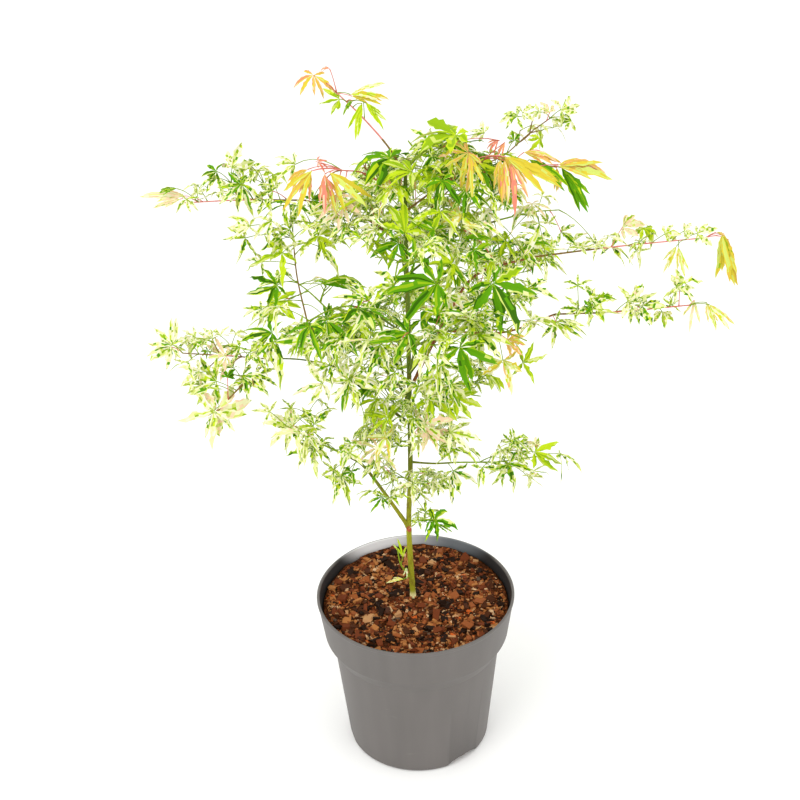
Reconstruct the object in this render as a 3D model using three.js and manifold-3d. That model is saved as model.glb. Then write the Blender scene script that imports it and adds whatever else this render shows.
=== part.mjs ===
// A young variegated palmate maple in a plain round nursery pot.
// Units are millimetres, +Z is up, and the origin is the centre of the pot's flat underside.
// The front of the plant faces -Y. Every bough starts on the centre line of the limb that bears it and is
// cut 0.3 mm clear of it. Every mass of foliage is one stem with twigs and leaves fused on by a seeded rule.
import * as THREE from "three";
import { mergeVertices } from "three/addons/utils/BufferGeometryUtils.js";
import Module from "manifold-3d";

const wasm = await Module();
wasm.setup();

// Clearance between solids that touch on the real plant
const CLEAR = 0.3;
const UP = new THREE.Vector3(0, 0, 1);
const BACK = new THREE.Vector3(0, 1, 0);

// Pot: a thin-walled round nursery pot with a deep collar, a lip and arched drainage notches in its foot
const RIM_RADIUS = 95;
const POT_HEIGHT = 167;
const COLLAR_FOOT_RADIUS = 89;
const COLLAR_FOOT_Z = 126;
const WAIST_RADIUS = 80.5;
const WAIST_Z = 111;
const BASE_RADIUS = 69.5;
const BASE_CHAMFER = 2;
const WALL = 2.2;
const LIP = 3.2;
const NOTCH = { count: 3, first: -52, width: 37, height: 8, depth: 11, steps: 6 };
const ROUND_SIDES = 36;

// Growing medium, filled to a little below the rim and level round the trunk
const MEDIUM_TOP_Z = 153.7;
const MEDIUM_EDGE_Z = 150.5;
const MEDIUM_LEVEL_RADIUS = 62;
const MEDIUM_WALL_GAP = 0.6;

// Trunk: a slender stem with a small root flare, straight but for a slight kink at its lowest fork
const TRUNK_ROUTE = [[-2.5, 8, 154], [-4.5, 6, 236], [-1.5, 3, 312], [0, 1, 446], [0, 1, 530], [1, 1, 592]];
const TRUNK = { foot: 3.7, tip: 1.4, sides: 8, steps: 13 };
const FLARE = { extra: 2.2, height: 16 };

// Boughs: the limb that bears each one, its route from that limb's centre line, and its radius at each end
const BOUGHS = {
  low_left: { from: "trunk", route: [[-5, 6, 238], [-40, -15, 314], [-56, -25, 336]], foot: 2.5, tip: 1.6 },
  low_right: { from: "trunk", route: [[-1.5, 3, 311], [20, -4, 313], [40, -8, 316]], foot: 1.5, tip: 1.3 },
  left_mid: {
    from: "trunk", route: [[-1, 2, 352], [-35, -10, 390], [-61, -20, 423], [-86, -8, 461]],
    foot: 2.3, tip: 1.4,
  },
  left_outer: {
    from: "left_mid", route: [[-61, -20, 423], [-92, -29, 436], [-122, -35, 441]], foot: 1.5, tip: 1.3,
  },
  second_right: { from: "trunk", route: [[-1, 2, 352], [12, -9, 370], [27, -20, 388]], foot: 1.8, tip: 1.4 },
  right_main: {
    from: "trunk", route: [[0, 1, 388], [28, 5, 444], [58, 11, 491], [108, 25, 501]], foot: 2.8, tip: 1.5,
  },
  right_lower: {
    from: "right_main", route: [[27, 5, 443], [80, -20, 452], [122, -35, 475]], foot: 1.7, tip: 1.3,
  },
  upper_left: { from: "trunk", route: [[0, 1, 525], [-42, 20, 548], [-85, 35, 555]], foot: 1.7, tip: 1.3 },
  upper_right: { from: "trunk", route: [[0, 1, 535], [48, 34, 570], [88, 56, 584]], foot: 1.6, tip: 1.3 },
  right_crown: { from: "trunk", route: [[0, 1, 498], [46, 18, 527], [80, 28, 535]], foot: 1.6, tip: 1.3 },
  right_front: { from: "trunk", route: [[0, 1, 428], [32, -36, 462], [50, -54, 474]], foot: 1.7, tip: 1.3 },
  front: { from: "trunk", route: [[0, 1, 405], [6, -42, 452], [9, -72, 470]], foot: 1.9, tip: 1.4 },
  front_left: { from: "trunk", route: [[0, 1, 440], [-30, -40, 484], [-46, -60, 500]], foot: 1.7, tip: 1.3 },
  upper_front: { from: "trunk", route: [[0, 1, 486], [-3, -36, 526], [-5, -58, 538]], foot: 1.6, tip: 1.3 },
  back: { from: "trunk", route: [[-1, 2, 345], [-6, 56, 372], [-10, 98, 384]], foot: 2.0, tip: 1.4 },
  back_left: { from: "trunk", route: [[0, 1, 378], [-46, 54, 412], [-70, 84, 424]], foot: 1.9, tip: 1.4 },
  back_right: { from: "trunk", route: [[0, 1, 404], [44, 56, 432], [70, 88, 442]], foot: 1.9, tip: 1.4 },
  upper_back: { from: "trunk", route: [[0, 1, 490], [2, 44, 522], [4, 76, 534]], foot: 1.6, tip: 1.3 },
};
const BOUGH_SIDES = 5;
const BOUGH_STEPS = 5;

// Masses of foliage. from is the bough whose tip the stem meets, or the limb that a stem with a foot leaves.
// stem is the rest of its route. pairs is its number of nodes, each with two leaves or side twigs. twig is
// the length of its side twigs, or 0 where leaves sit on the stem, and leaf is the length of a leaf's middle
// lobe. bare is the share of the stem that has no leaves, lift tilts the leaf stalks up, fall is how steeply
// the blades hang in radians, and last and lastFall are the size and fall of the leaf at the stem's end.
const USUAL = { pairs: 3, twig: 28, leaf: 34, bare: 0.15, lift: 0.12, fall: 0.5, last: 1.1, lastFall: 0.6 };
const FOLIAGE = {
  foot: {
    from: "trunk", foot: [-3, 8, 176], stem: [[-13, 0, 198], [-16, -4, 220]], pairs: 1, twig: 0,
    leaf: 19, seed: 7,
  },
  fork: {
    from: "trunk", foot: [-4, 6, 244], stem: [[10, -10, 256], [20, -22, 264]], pairs: 1, twig: 0,
    leaf: 26, seed: 16,
  },
  low_left: { from: "low_left", stem: [[-82, -42, 362], [-106, -58, 388]], twig: 26, leaf: 31, seed: 3 },
  low_right: { from: "low_right", stem: [[78, -15, 320], [112, -24, 330]], twig: 20, leaf: 29, seed: 8 },
  mid_left: {
    from: "trunk", foot: [-1, 2, 332], stem: [[-20, -14, 346], [-36, -26, 352]], pairs: 2, twig: 20,
    leaf: 30, seed: 26,
  },
  second_right: {
    from: "second_right", stem: [[42, -32, 400], [60, -44, 404]], pairs: 2, twig: 22, leaf: 32, seed: 15,
  },
  left_tip: { from: "left_outer", stem: [[-150, -42, 448], [-188, -50, 456]], twig: 18, leaf: 27, seed: 5 },
  left_drop: {
    from: "left_outer", foot: [-117, -34, 440.5], stem: [[-140, -56, 428], [-162, -76, 412]],
    pairs: 2, twig: 16, leaf: 28, fall: 0.7, seed: 27,
  },
  left_upright: { from: "left_mid", stem: [[-93, 2, 498], [-95, 12, 530]], twig: 0, leaf: 33, seed: 13 },
  left_crown: {
    from: "trunk", foot: [0, 1, 512], stem: [[-40, -4, 540], [-84, -10, 554]], bare: 0.35, pairs: 2, twig: 22,
    leaf: 32, seed: 34,
  },
  upper_left: {
    from: "upper_left", stem: [[-139, 45, 553], [-190, 50, 550]], twig: 20, leaf: 29, lift: 0.5, fall: 0.1,
    lastFall: 0.3, seed: 21,
  },
  crown_left: {
    from: "trunk", foot: [0, 1, 566], stem: [[-30, -8, 592], [-50, -18, 600]], bare: 0.4, pairs: 2, twig: 18,
    leaf: 32, last: 1.5, lastFall: 0.9, seed: 35,
  },
  top_left: {
    from: "trunk", foot: [1, 1, 586], stem: [[-12, 5, 610], [-34, 10, 636], [-52, 12, 654]],
    bare: 0.55, pairs: 2, twig: 0, leaf: 31, lift: 0.3, last: 1, lastFall: 0.5, seed: 37,
  },
  top: { from: "trunk", stem: [[12, 5, 602], [26, 10, 610]], pairs: 2, twig: 24, leaf: 36, seed: 32 },
  crown_right: {
    from: "trunk", foot: [0, 1, 556], stem: [[46, -6, 588], [100, -8, 590]], bare: 0.35, twig: 18, leaf: 34,
    last: 1.45, lastFall: 0.7, seed: 39,
  },
  upper_right: {
    from: "upper_right", stem: [[108, 66, 598], [126, 74, 608]], twig: 16, leaf: 27, lift: 0.3,
    fall: 0.3, seed: 6,
  },
  right_crown: {
    from: "right_crown", stem: [[108, 36, 538], [132, 42, 537]], pairs: 2, twig: 24, leaf: 33, seed: 41,
  },
  right_long: {
    from: "right_main", stem: [[181, 38, 503], [262, 50, 504]], pairs: 5, twig: 0, leaf: 26, lift: 0.55,
    fall: 0.25, last: 1.6, lastFall: 1.35, seed: 4,
  },
  right_lower: {
    from: "right_lower", stem: [[171, -46, 481], [228, -62, 493]], pairs: 4, twig: 0, leaf: 27, lift: 0.55,
    fall: 0.25, last: 1.2, lastFall: 0.8, seed: 9,
  },
  low_front: {
    from: "trunk", foot: [-2, 4, 292], stem: [[-12, -12, 304], [-24, -28, 307]], pairs: 2, twig: 14,
    leaf: 24, seed: 51,
  },
  low_side: {
    from: "trunk", foot: [-3, 4.5, 272], stem: [[12, -2, 286], [27, -12, 293]], pairs: 2, twig: 12,
    leaf: 23, seed: 52,
  },
  waist_right: {
    from: "trunk", foot: [-1, 2.5, 330], stem: [[18, -12, 346], [42, -26, 352]], pairs: 2, twig: 18,
    leaf: 28, seed: 53,
  },
  waist_left: {
    from: "trunk", foot: [-1, 2, 362], stem: [[-14, -20, 382], [-34, -40, 390]], pairs: 2, twig: 20,
    leaf: 29, seed: 54,
  },
  core_left: {
    from: "trunk", foot: [0, 1, 530], stem: [[-16, -20, 554], [-36, -40, 566]], pairs: 2, twig: 22,
    leaf: 30, seed: 58,
  },
  core_right: {
    from: "trunk", foot: [0, 1, 520], stem: [[22, -18, 542], [46, -38, 554]], pairs: 2, twig: 22,
    leaf: 30, seed: 56,
  },
  right_front: { from: "right_front", stem: [[74, -76, 482], [94, -92, 480]], pairs: 2, leaf: 37, seed: 44 },
  front: { from: "front", stem: [[12, -102, 482], [14, -134, 484]], pairs: 2, twig: 32, leaf: 38, seed: 2 },
  front_left: { from: "front_left", stem: [[-62, -84, 508], [-82, -104, 506]], pairs: 2, leaf: 37, seed: 18 },
  upper_front: {
    from: "upper_front", stem: [[-7, -84, 546], [-9, -104, 544]], pairs: 2, twig: 26, leaf: 36, seed: 46,
  },
  back: { from: "back", stem: [[-12, 136, 394], [-14, 168, 396]], twig: 30, leaf: 38, seed: 10 },
  back_left: { from: "back_left", stem: [[-92, 112, 434], [-112, 138, 438]], leaf: 37, seed: 19 },
  back_right: { from: "back_right", stem: [[96, 122, 452], [118, 150, 456]], twig: 30, leaf: 37, seed: 11 },
  upper_back: { from: "upper_back", stem: [[6, 108, 544], [8, 136, 544]], leaf: 37, seed: 23 },
};
const STEM = { ofTip: 0.9, trunkBorne: 1.4, tip: 1.1, steps: 4 };
const TWIG = { foot: 1.1, tip: 1.0, sides: 3, shorten: 0.3 };

// Leaf: the lobes round the end of the leaf stalk, each with its turn from the middle one in degrees and its
// length over the middle one's, the notches between them, and how far the lobe tips fall below the middle
const LOBES = [[-84, 0.6], [-42, 0.9], [0, 1], [42, 0.9], [84, 0.6]];
const LOBE_NOTCH = 0.33;
const TIP_FALL = 0.3;
const BLADE_THICKNESS = 1.7;
const STALK = { radius: 0.75, root: 0.4, shortest: 0.45, spread: 0.35 };
const PALM_SPACING = 0.42;

const FINISHES = {
  pot: { color: 0x7d7875, roughness: 0.62, metalness: 0 },
  medium: { color: 0x6f4526, roughness: 0.95, metalness: 0 },
  bark: { color: 0x7c7a45, roughness: 0.7, metalness: 0 },
  leaf: { color: 0xbcc874, roughness: 0.55, metalness: 0 },
};

// Repeatable random numbers from 0 to 1: a linear congruential sequence
function seeded(seed) {
  let state = seed * 7919 + 17;
  return () => {
    state = (state * 1664525 + 1013904223) % 4294967296;
    return state / 4294967296;
  };
}

const vector = (p) => new THREE.Vector3(...p);
const through = (points) => new THREE.CatmullRomCurve3(points.map(vector), false, "catmullrom", 0.5);
const taper = (foot, tip) => (t) => foot + (tip - foot) * t;
const mixed = (parts) => {
  const sum = new THREE.Vector3();
  parts.forEach(([direction, share]) => sum.addScaledVector(direction, share));
  return sum.normalize();
};

function solidOf(geometry) {
  const bare = geometry.clone();
  bare.deleteAttribute("normal");
  bare.deleteAttribute("uv");
  const merged = mergeVertices(bare, 1e-5);
  const mesh = new wasm.Mesh({
    numProp: 3,
    vertProperties: new Float32Array(merged.attributes.position.array),
    triVerts: new Uint32Array(merged.index.array),
  });
  return new wasm.Manifold(mesh);
}

function geometryOf(solid) {
  const mesh = solid.getMesh();
  const geometry = new THREE.BufferGeometry();
  geometry.setAttribute("position", new THREE.BufferAttribute(mesh.vertProperties, 3));
  geometry.setIndex(new THREE.BufferAttribute(mesh.triVerts, 1));
  geometry.computeVertexNormals();
  return geometry;
}

function turned(outline) {
  const lathe = new THREE.LatheGeometry(outline.map((p) => new THREE.Vector2(...p)), ROUND_SIDES);
  return lathe.rotateX(Math.PI / 2);
}

// A closed cylinder bent along a curve, where radiusAt gives its radius from 0 at the foot to 1 at the tip,
// and beyond is how far its tip stands past the curve's end
function limb(curve, radiusAt, sides, steps, beyond = 0) {
  const tube = new THREE.CylinderGeometry(1, 1, 1, sides, steps);
  const frames = curve.computeFrenetFrames(steps, false);
  const place = tube.attributes.position;
  for (let i = 0; i < place.count; i++) {
    const step = Math.round((0.5 + place.getY(i)) * steps);
    const radius = radiusAt(step / steps);
    const point = curve.getPointAt(step / steps);
    point.addScaledVector(frames.normals[step], place.getZ(i) * radius);
    point.addScaledVector(frames.binormals[step], place.getX(i) * radius);
    point.addScaledVector(frames.tangents[step], step === steps ? beyond : 0);
    place.setXYZ(i, point.x, point.y, point.z);
  }
  return tube;
}

function makePot() {
  const outline = [
    [0, 0],
    [BASE_RADIUS - BASE_CHAMFER, 0],
    [BASE_RADIUS, BASE_CHAMFER],
    [WAIST_RADIUS, WAIST_Z],
    [COLLAR_FOOT_RADIUS, COLLAR_FOOT_Z],
    [RIM_RADIUS - 1, POT_HEIGHT - LIP],
    [RIM_RADIUS, POT_HEIGHT - LIP + 1],
    [RIM_RADIUS, POT_HEIGHT],
    [RIM_RADIUS - LIP, POT_HEIGHT],
    [COLLAR_FOOT_RADIUS - WALL, COLLAR_FOOT_Z],
    [WAIST_RADIUS - WALL, WAIST_Z],
    [BASE_RADIUS - WALL, WALL + 1],
    [0, WALL],
  ];
  let pot = solidOf(turned(outline));
  for (let i = 0; i < NOTCH.count; i++) {
    pot = pot.subtract(solidOf(notchCutter(NOTCH.first + (360 / NOTCH.count) * i)));
  }
  return geometryOf(pot);
}

// An arched block lying through the foot of the wall, turned by an angle in degrees from +X
function notchCutter(angle) {
  const arch = new THREE.Shape();
  arch.moveTo(-NOTCH.width / 2, -1);
  for (let i = 0; i <= NOTCH.steps; i++) {
    const turn = Math.PI * (1 - i / NOTCH.steps);
    arch.lineTo((Math.cos(turn) * NOTCH.width) / 2, Math.sin(turn) * NOTCH.height);
  }
  arch.lineTo(NOTCH.width / 2, -1);
  const block = new THREE.ExtrudeGeometry(arch, { depth: 2 * NOTCH.depth, bevelEnabled: false });
  block.rotateX(Math.PI / 2);
  block.rotateZ(Math.PI / 2);
  block.translate(BASE_RADIUS - NOTCH.depth, 0, 0);
  return block.rotateZ(THREE.MathUtils.degToRad(angle));
}

// The medium fills the pot, a small gap inside its wall, and its top falls gently towards the wall
function makeMedium() {
  const insideCollar = (z) =>
    THREE.MathUtils.mapLinear(z, COLLAR_FOOT_Z, POT_HEIGHT, COLLAR_FOOT_RADIUS - WALL, RIM_RADIUS - LIP);
  return turned([
    [0, WALL + CLEAR],
    [BASE_RADIUS - WALL - MEDIUM_WALL_GAP, WALL + 1 + CLEAR],
    [WAIST_RADIUS - WALL - MEDIUM_WALL_GAP, WAIST_Z + CLEAR],
    [insideCollar(COLLAR_FOOT_Z) - MEDIUM_WALL_GAP, COLLAR_FOOT_Z + CLEAR],
    [insideCollar(MEDIUM_EDGE_Z) - MEDIUM_WALL_GAP, MEDIUM_EDGE_Z],
    [MEDIUM_LEVEL_RADIUS, MEDIUM_TOP_Z],
    [0, MEDIUM_TOP_Z],
  ]);
}

// The trunk's lowest ring is laid flat, so that it is cut level with the growing medium
function makeTrunk(curve, swell) {
  const length = curve.getLength();
  const radiusAt = (t) => {
    const flare = FLARE.extra * Math.max(0, 1 - (t * length) / FLARE.height) ** 2;
    return taper(TRUNK.foot, TRUNK.tip)(t) + flare + swell;
  };
  const tube = limb(curve, radiusAt, TRUNK.sides, TRUNK.steps, swell);
  const place = tube.attributes.position;
  const foot = TRUNK_ROUTE[0][2];
  for (let i = 0; i < place.count; i++) {
    if (place.getZ(i) < foot + length / TRUNK.steps / 2) {
      place.setZ(i, foot - swell);
    }
  }
  return tube;
}

// Limbs, and the same limbs swollen by the clearance, which cut what they bear
const curves = {};
const limbs = {};
const swollen = {};

function growTrunk() {
  curves.trunk = through(TRUNK_ROUTE);
  limbs.trunk = solidOf(makeTrunk(curves.trunk, 0));
  swollen.trunk = solidOf(makeTrunk(curves.trunk, CLEAR));
}

function growBough(name, { from, route, foot, tip }) {
  const curve = through(route);
  const radiusAt = (swell) => taper(foot + swell, tip + swell);
  const bough = (swell) => solidOf(limb(curve, radiusAt(swell), BOUGH_SIDES, BOUGH_STEPS, swell));
  curves[name] = curve;
  limbs[name] = bough(0).subtract(swollen[from]);
  swollen[name] = bough(CLEAR);
}

function boxOf(solid) {
  const { min, max } = solid.boundingBox();
  return new THREE.Box3(vector(min), vector(max));
}

// Whether a solid is one closed skin, with no loose scrap and no sealed hollow
function isOneSkin(solid) {
  const { triVerts, numVert } = solid.getMesh();
  const parent = [...Array(numVert).keys()];
  const rootOf = (i) => {
    while (parent[i] !== i) {
      parent[i] = parent[parent[i]];
      i = parent[i];
    }
    return i;
  };
  for (let i = 0; i < triVerts.length; i += 3) {
    parent[rootOf(triVerts[i])] = rootOf(triVerts[i + 1]);
    parent[rootOf(triVerts[i])] = rootOf(triVerts[i + 2]);
  }
  return new Set([...triVerts].map(rootOf)).size === 1;
}

// Every limb, twig and leaf placed so far, as { owner, solid, box }
const placed = [];

function remember(list, owner, solid) {
  list.push({ owner, solid, box: boxOf(solid) });
}

function misses(solid, others) {
  const box = boxOf(solid);
  const near = others.filter((other) => other.box.intersectsBox(box));
  return near.every((other) => solid.intersect(other.solid).isEmpty());
}

// Where a leaf lies: its stalk runs from base along heading, and the blade hangs from the stalk's end
function layLeaf(base, heading, size, fall, next) {
  const stalk = size * (STALK.shortest + STALK.spread * next());
  const hang = fall + 0.7 * (next() - 0.5);
  const roll = 0.9 * (next() - 0.5);
  const palm = base.clone().addScaledVector(heading, stalk);
  const level = heading.clone().setZ(0).normalize();
  const along = mixed([[level, Math.cos(hang)], [UP, -Math.sin(hang)]]);
  const up = mixed([[level, Math.sin(hang)], [UP, Math.cos(hang)]]).applyAxisAngle(along, roll);
  const across = up.clone().cross(along);
  return { base, palm, along, across, up, size };
}

// The corners round a blade: each lobe's tip, the notches between, and the two sides of the stalk's end
function bladeRim({ palm, along, across, up, size }, swell) {
  const corner = (degrees, radius) => {
    const turn = THREE.MathUtils.degToRad(degrees);
    const p = palm.clone().addScaledVector(along, Math.cos(turn) * (radius * size + swell));
    p.addScaledVector(across, Math.sin(turn) * (radius * size + swell));
    return p.addScaledVector(up, -TIP_FALL * radius * radius * size);
  };
  const rim = LOBES.flatMap(([turn, length], i) => {
    const tip = corner(turn, length);
    return i + 1 < LOBES.length ? [tip, corner((turn + LOBES[i + 1][0]) / 2, LOBE_NOTCH)] : [tip];
  });
  const half = STALK.radius + swell;
  const stalkSide = (hand) => palm.clone().addScaledVector(across, hand * half).addScaledVector(along, -half);
  return [stalkSide(-1), ...rim, stalkSide(1)];
}

// A closed leaf: a blade that is thickest at the stalk's end and thins to its rim, with a three-sided stalk
function leafGeometry(leaf, swell, stalked) {
  const { base, palm, across, up } = leaf;
  const rim = bladeRim(leaf, swell);
  const thick = BLADE_THICKNESS / 2 + swell;
  const root = STALK.root + swell;
  const points = [
    ...rim,
    palm.clone().addScaledVector(up, thick),
    palm.clone().addScaledVector(up, -thick),
  ];
  const count = rim.length;
  const [top, under, footTop, footLeft, footRight] = [0, 1, 2, 3, 4].map((k) => count + k);
  const last = count - 1;
  const faces = [under, 0, last];
  for (let i = 0; i < last; i++) {
    faces.push(top, i, i + 1, under, i + 1, i);
  }
  if (stalked) {
    points.push(base.clone().addScaledVector(up, root));
    points.push(base.clone().addScaledVector(across, root).addScaledVector(up, -root / 2));
    points.push(base.clone().addScaledVector(across, -root).addScaledVector(up, -root / 2));
    faces.push(top, last, footLeft, top, footLeft, footTop, last, 0, footRight, last, footRight, footLeft);
    faces.push(0, top, footTop, 0, footTop, footRight, footTop, footLeft, footRight);
  } else {
    faces.push(top, last, 0);
  }
  const geometry = new THREE.BufferGeometry();
  geometry.setAttribute("position", new THREE.Float32BufferAttribute(points.flatMap((p) => p.toArray()), 3));
  return geometry.setIndex(faces);
}

// Whether a leaf keeps to its mass's space: near enough to the stem, and not crowded by another leaf
function hasRoom(mass, leaf) {
  const tip = leaf.palm.clone().addScaledVector(leaf.along, leaf.size);
  const reached = mass.stem.getSpacedPoints(4 * STEM.steps).some((p) => p.distanceTo(tip) < mass.reach);
  const crowded = mass.palms.some((palm) => palm.distanceTo(leaf.palm) < PALM_SPACING * leaf.size);
  return reached && !crowded;
}

// Fuses a leaf on, unless it would leave its space, touch another solid or cut another leaf of its own mass
function addLeaf(mass, leaf) {
  if (!hasRoom(mass, leaf)) {
    return;
  }
  const whole = solidOf(leafGeometry(leaf, 0, true));
  const blade = solidOf(leafGeometry(leaf, 0, false));
  const others = placed.filter((other) => other.owner !== mass.name);
  if (!misses(whole, others) || !misses(whole, mass.blades) || !blade.intersect(mass.solid).isEmpty()) {
    return;
  }
  const joined = mass.solid.add(whole);
  if (!isOneSkin(joined)) {
    return;
  }
  mass.solid = joined;
  mass.palms.push(leaf.palm);
  remember(mass.blades, mass.name, blade);
  remember(placed, mass.name, solidOf(leafGeometry(leaf, CLEAR, true)));
}

function addTwig(mass, from, heading, length) {
  const route = new THREE.LineCurve3(from, from.clone().addScaledVector(heading, length));
  const twig = solidOf(limb(route, taper(TWIG.foot, TWIG.tip), TWIG.sides, 1));
  const others = placed.filter((other) => other.owner !== mass.name);
  if (!misses(twig, others)) {
    return false;
  }
  mass.solid = mass.solid.add(twig);
  remember(placed, mass.name, twig);
  return true;
}

// The stem starts a clearance beyond its bough's tip, or on the limb that it leaves, and is cut clear of it
function startMass(name, spec) {
  const bearer = curves[spec.from];
  const pastTip = bearer.getPointAt(1).addScaledVector(bearer.getTangentAt(1), CLEAR);
  const start = spec.foot ? vector(spec.foot) : pastTip;
  const stem = through([start.toArray(), ...spec.stem]);
  const footRadius = spec.foot ? STEM.trunkBorne : STEM.ofTip * (BOUGHS[spec.from] ?? TRUNK).tip;
  const whole = solidOf(limb(stem, taper(footRadius, STEM.tip), TWIG.sides, STEM.steps));
  const solid = whole.subtract(swollen[spec.from]);
  remember(placed, name, solid);
  const reach = spec.twig + 2 * spec.leaf;
  return { name, stem, solid, reach, palms: [], blades: [], next: seeded(spec.seed) };
}

// One node: a pair of leaves or side twigs on opposite sides of the stem, each pair turned from the last
function growNode(mass, spec, i) {
  const { next, stem } = mass;
  const t = spec.bare + ((1 - spec.bare) * (i + 0.5)) / (spec.pairs + 0.25);
  const at = stem.getPointAt(t);
  const ahead = stem.getTangentAt(t);
  const side = new THREE.Vector3().crossVectors(ahead, Math.abs(ahead.z) < 0.85 ? UP : BACK).normalize();
  const lift = new THREE.Vector3().crossVectors(side, ahead);
  const turn = (i % 2 ? 1.15 : 0.15) + 0.5 * (next() - 0.5);
  for (const hand of [-1, 1]) {
    const out = mixed([[side, hand * Math.cos(turn)], [lift, hand * Math.sin(turn)]]);
    const heading = mixed([[ahead, 0.55], [out, 0.8], [UP, spec.lift]]);
    const size = spec.leaf * (0.85 + 0.3 * next());
    const length = spec.twig * (0.8 + 0.4 * next()) * (1 - TWIG.shorten * t);
    if (spec.twig === 0 || i === spec.pairs - 1) {
      addLeaf(mass, layLeaf(at, heading, size, spec.fall, next));
    } else {
      growSideTwig(mass, spec, { at, heading, size, length });
    }
  }
}

// A side twig ends in three leaves, the middle one straight on
function growSideTwig(mass, spec, { at, heading, size, length }) {
  const fits = addTwig(mass, at, heading, length);
  const sideways = new THREE.Vector3().crossVectors(heading, UP).normalize();
  const seat = at.clone().addScaledVector(heading, length - 1);
  for (const way of [0, -1, 1]) {
    const swing = mixed([[heading, way === 0 ? 1 : 0.6], [sideways, 0.8 * way]]);
    const leaf = layLeaf(seat, swing, size * (way === 0 ? 1 : 0.88), spec.fall, mass.next);
    if (fits) {
      addLeaf(mass, leaf);
    }
  }
}

function growMass(name, given) {
  const spec = { ...USUAL, ...given };
  const mass = startMass(name, spec);
  for (let i = 0; i < spec.pairs; i++) {
    growNode(mass, spec, i);
  }
  const ahead = mass.stem.getTangentAt(1);
  const end = mass.stem.getPointAt(1).addScaledVector(ahead, -1);
  addLeaf(mass, layLeaf(end, ahead, spec.leaf * spec.last, spec.lastFall, mass.next));
  return mass;
}

const plant = new THREE.Group();

function show(name, geometry, finish) {
  const mesh = new THREE.Mesh(geometry, new THREE.MeshStandardMaterial(FINISHES[finish]));
  mesh.name = name;
  plant.add(mesh);
}

show("pot", makePot(), "pot");
show("growing_medium", makeMedium(), "medium");
growTrunk();
show("trunk", geometryOf(limbs.trunk), "bark");
for (const [name, bough] of Object.entries(BOUGHS)) {
  growBough(name, bough);
  show(`${name}_bough`, geometryOf(limbs[name]), "bark");
}
Object.entries(swollen).forEach(([owner, solid]) => remember(placed, owner, solid));
for (const [name, spec] of Object.entries(FOLIAGE)) {
  const mass = growMass(name, spec);
  show(`${name}_foliage`, geometryOf(mass.solid), "leaf");
}

export default plant;
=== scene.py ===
# %% [markdown]
# # A young variegated maple in a nursery pot
#
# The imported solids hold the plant's real sizes and places. This script dresses them: it grows the twigs
# and leaves again by the rule that placed the solid ones, wraps the limbs in bark, turns a smooth pot and
# fills it with chips of bark. Lengths are written in millimetres, as on a drawing, and become metres in
# the mesh.

# %% The frame
import math

import bpy
import numpy as np
from mathutils import Matrix


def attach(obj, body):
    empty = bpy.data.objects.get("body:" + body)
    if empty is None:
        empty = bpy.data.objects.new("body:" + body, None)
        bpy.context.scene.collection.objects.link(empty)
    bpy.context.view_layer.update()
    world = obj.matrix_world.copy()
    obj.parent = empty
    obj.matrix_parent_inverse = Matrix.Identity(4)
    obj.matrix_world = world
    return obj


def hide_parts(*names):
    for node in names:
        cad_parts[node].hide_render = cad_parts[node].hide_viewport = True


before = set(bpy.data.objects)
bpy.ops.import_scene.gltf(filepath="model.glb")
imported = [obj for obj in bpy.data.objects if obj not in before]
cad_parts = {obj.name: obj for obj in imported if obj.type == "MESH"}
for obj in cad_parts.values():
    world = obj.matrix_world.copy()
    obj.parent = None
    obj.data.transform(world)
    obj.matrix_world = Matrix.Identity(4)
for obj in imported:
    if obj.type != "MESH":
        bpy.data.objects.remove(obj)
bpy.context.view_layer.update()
MM = 0.001
UP = np.array([0.0, 0.0, 1.0])
BACK = np.array([0.0, 1.0, 0.0])
print("solids in the frame:", len(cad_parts))


# %% [markdown]
# ## Colours and materials
#
# Colours are picked as a painter reads them, in sRGB from 0 to 255, while Blender mixes light in linear
# numbers, so each one is converted first. A material is built as arithmetic: a Wire stands for one node
# socket, and adding or multiplying two of them adds the Math node that does it.

# %% Colour and socket helpers
def linear(red, green, blue):
    """A colour in sRGB numbers from 0 to 255 as linear red, green, blue and full opacity."""
    share = np.array([red, green, blue]) / 255
    light = np.where(share <= 0.04045, share / 12.92, ((share + 0.055) / 1.055) ** 2.4)
    return (*light.tolist(), 1.0)


class Wire:
    """A node's output that Python arithmetic works on. Each operation adds one Math node."""

    def __init__(self, finish, socket):
        self.finish = finish
        self.socket = socket

    def math(self, operation, first, second=None):
        values = {0: first} if second is None else {0: first, 1: second}
        return self.finish.node("ShaderNodeMath", {"operation": operation}, values)

    def __add__(self, other):
        return self.math("ADD", self, other)

    __radd__ = __add__

    def __sub__(self, other):
        return self.math("SUBTRACT", self, other)

    def __rsub__(self, other):
        return self.math("SUBTRACT", other, self)

    def __mul__(self, other):
        return self.math("MULTIPLY", self, other)

    __rmul__ = __mul__

    def above(self, low, high):
        """0 where this value is under low, 1 where it is over high, and smooth between."""
        settings = {"interpolation_type": "SMOOTHSTEP"}
        inputs = {"Value": self, "From Min": low, "From Max": high}
        return self.finish.node("ShaderNodeMapRange", settings, inputs)


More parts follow.
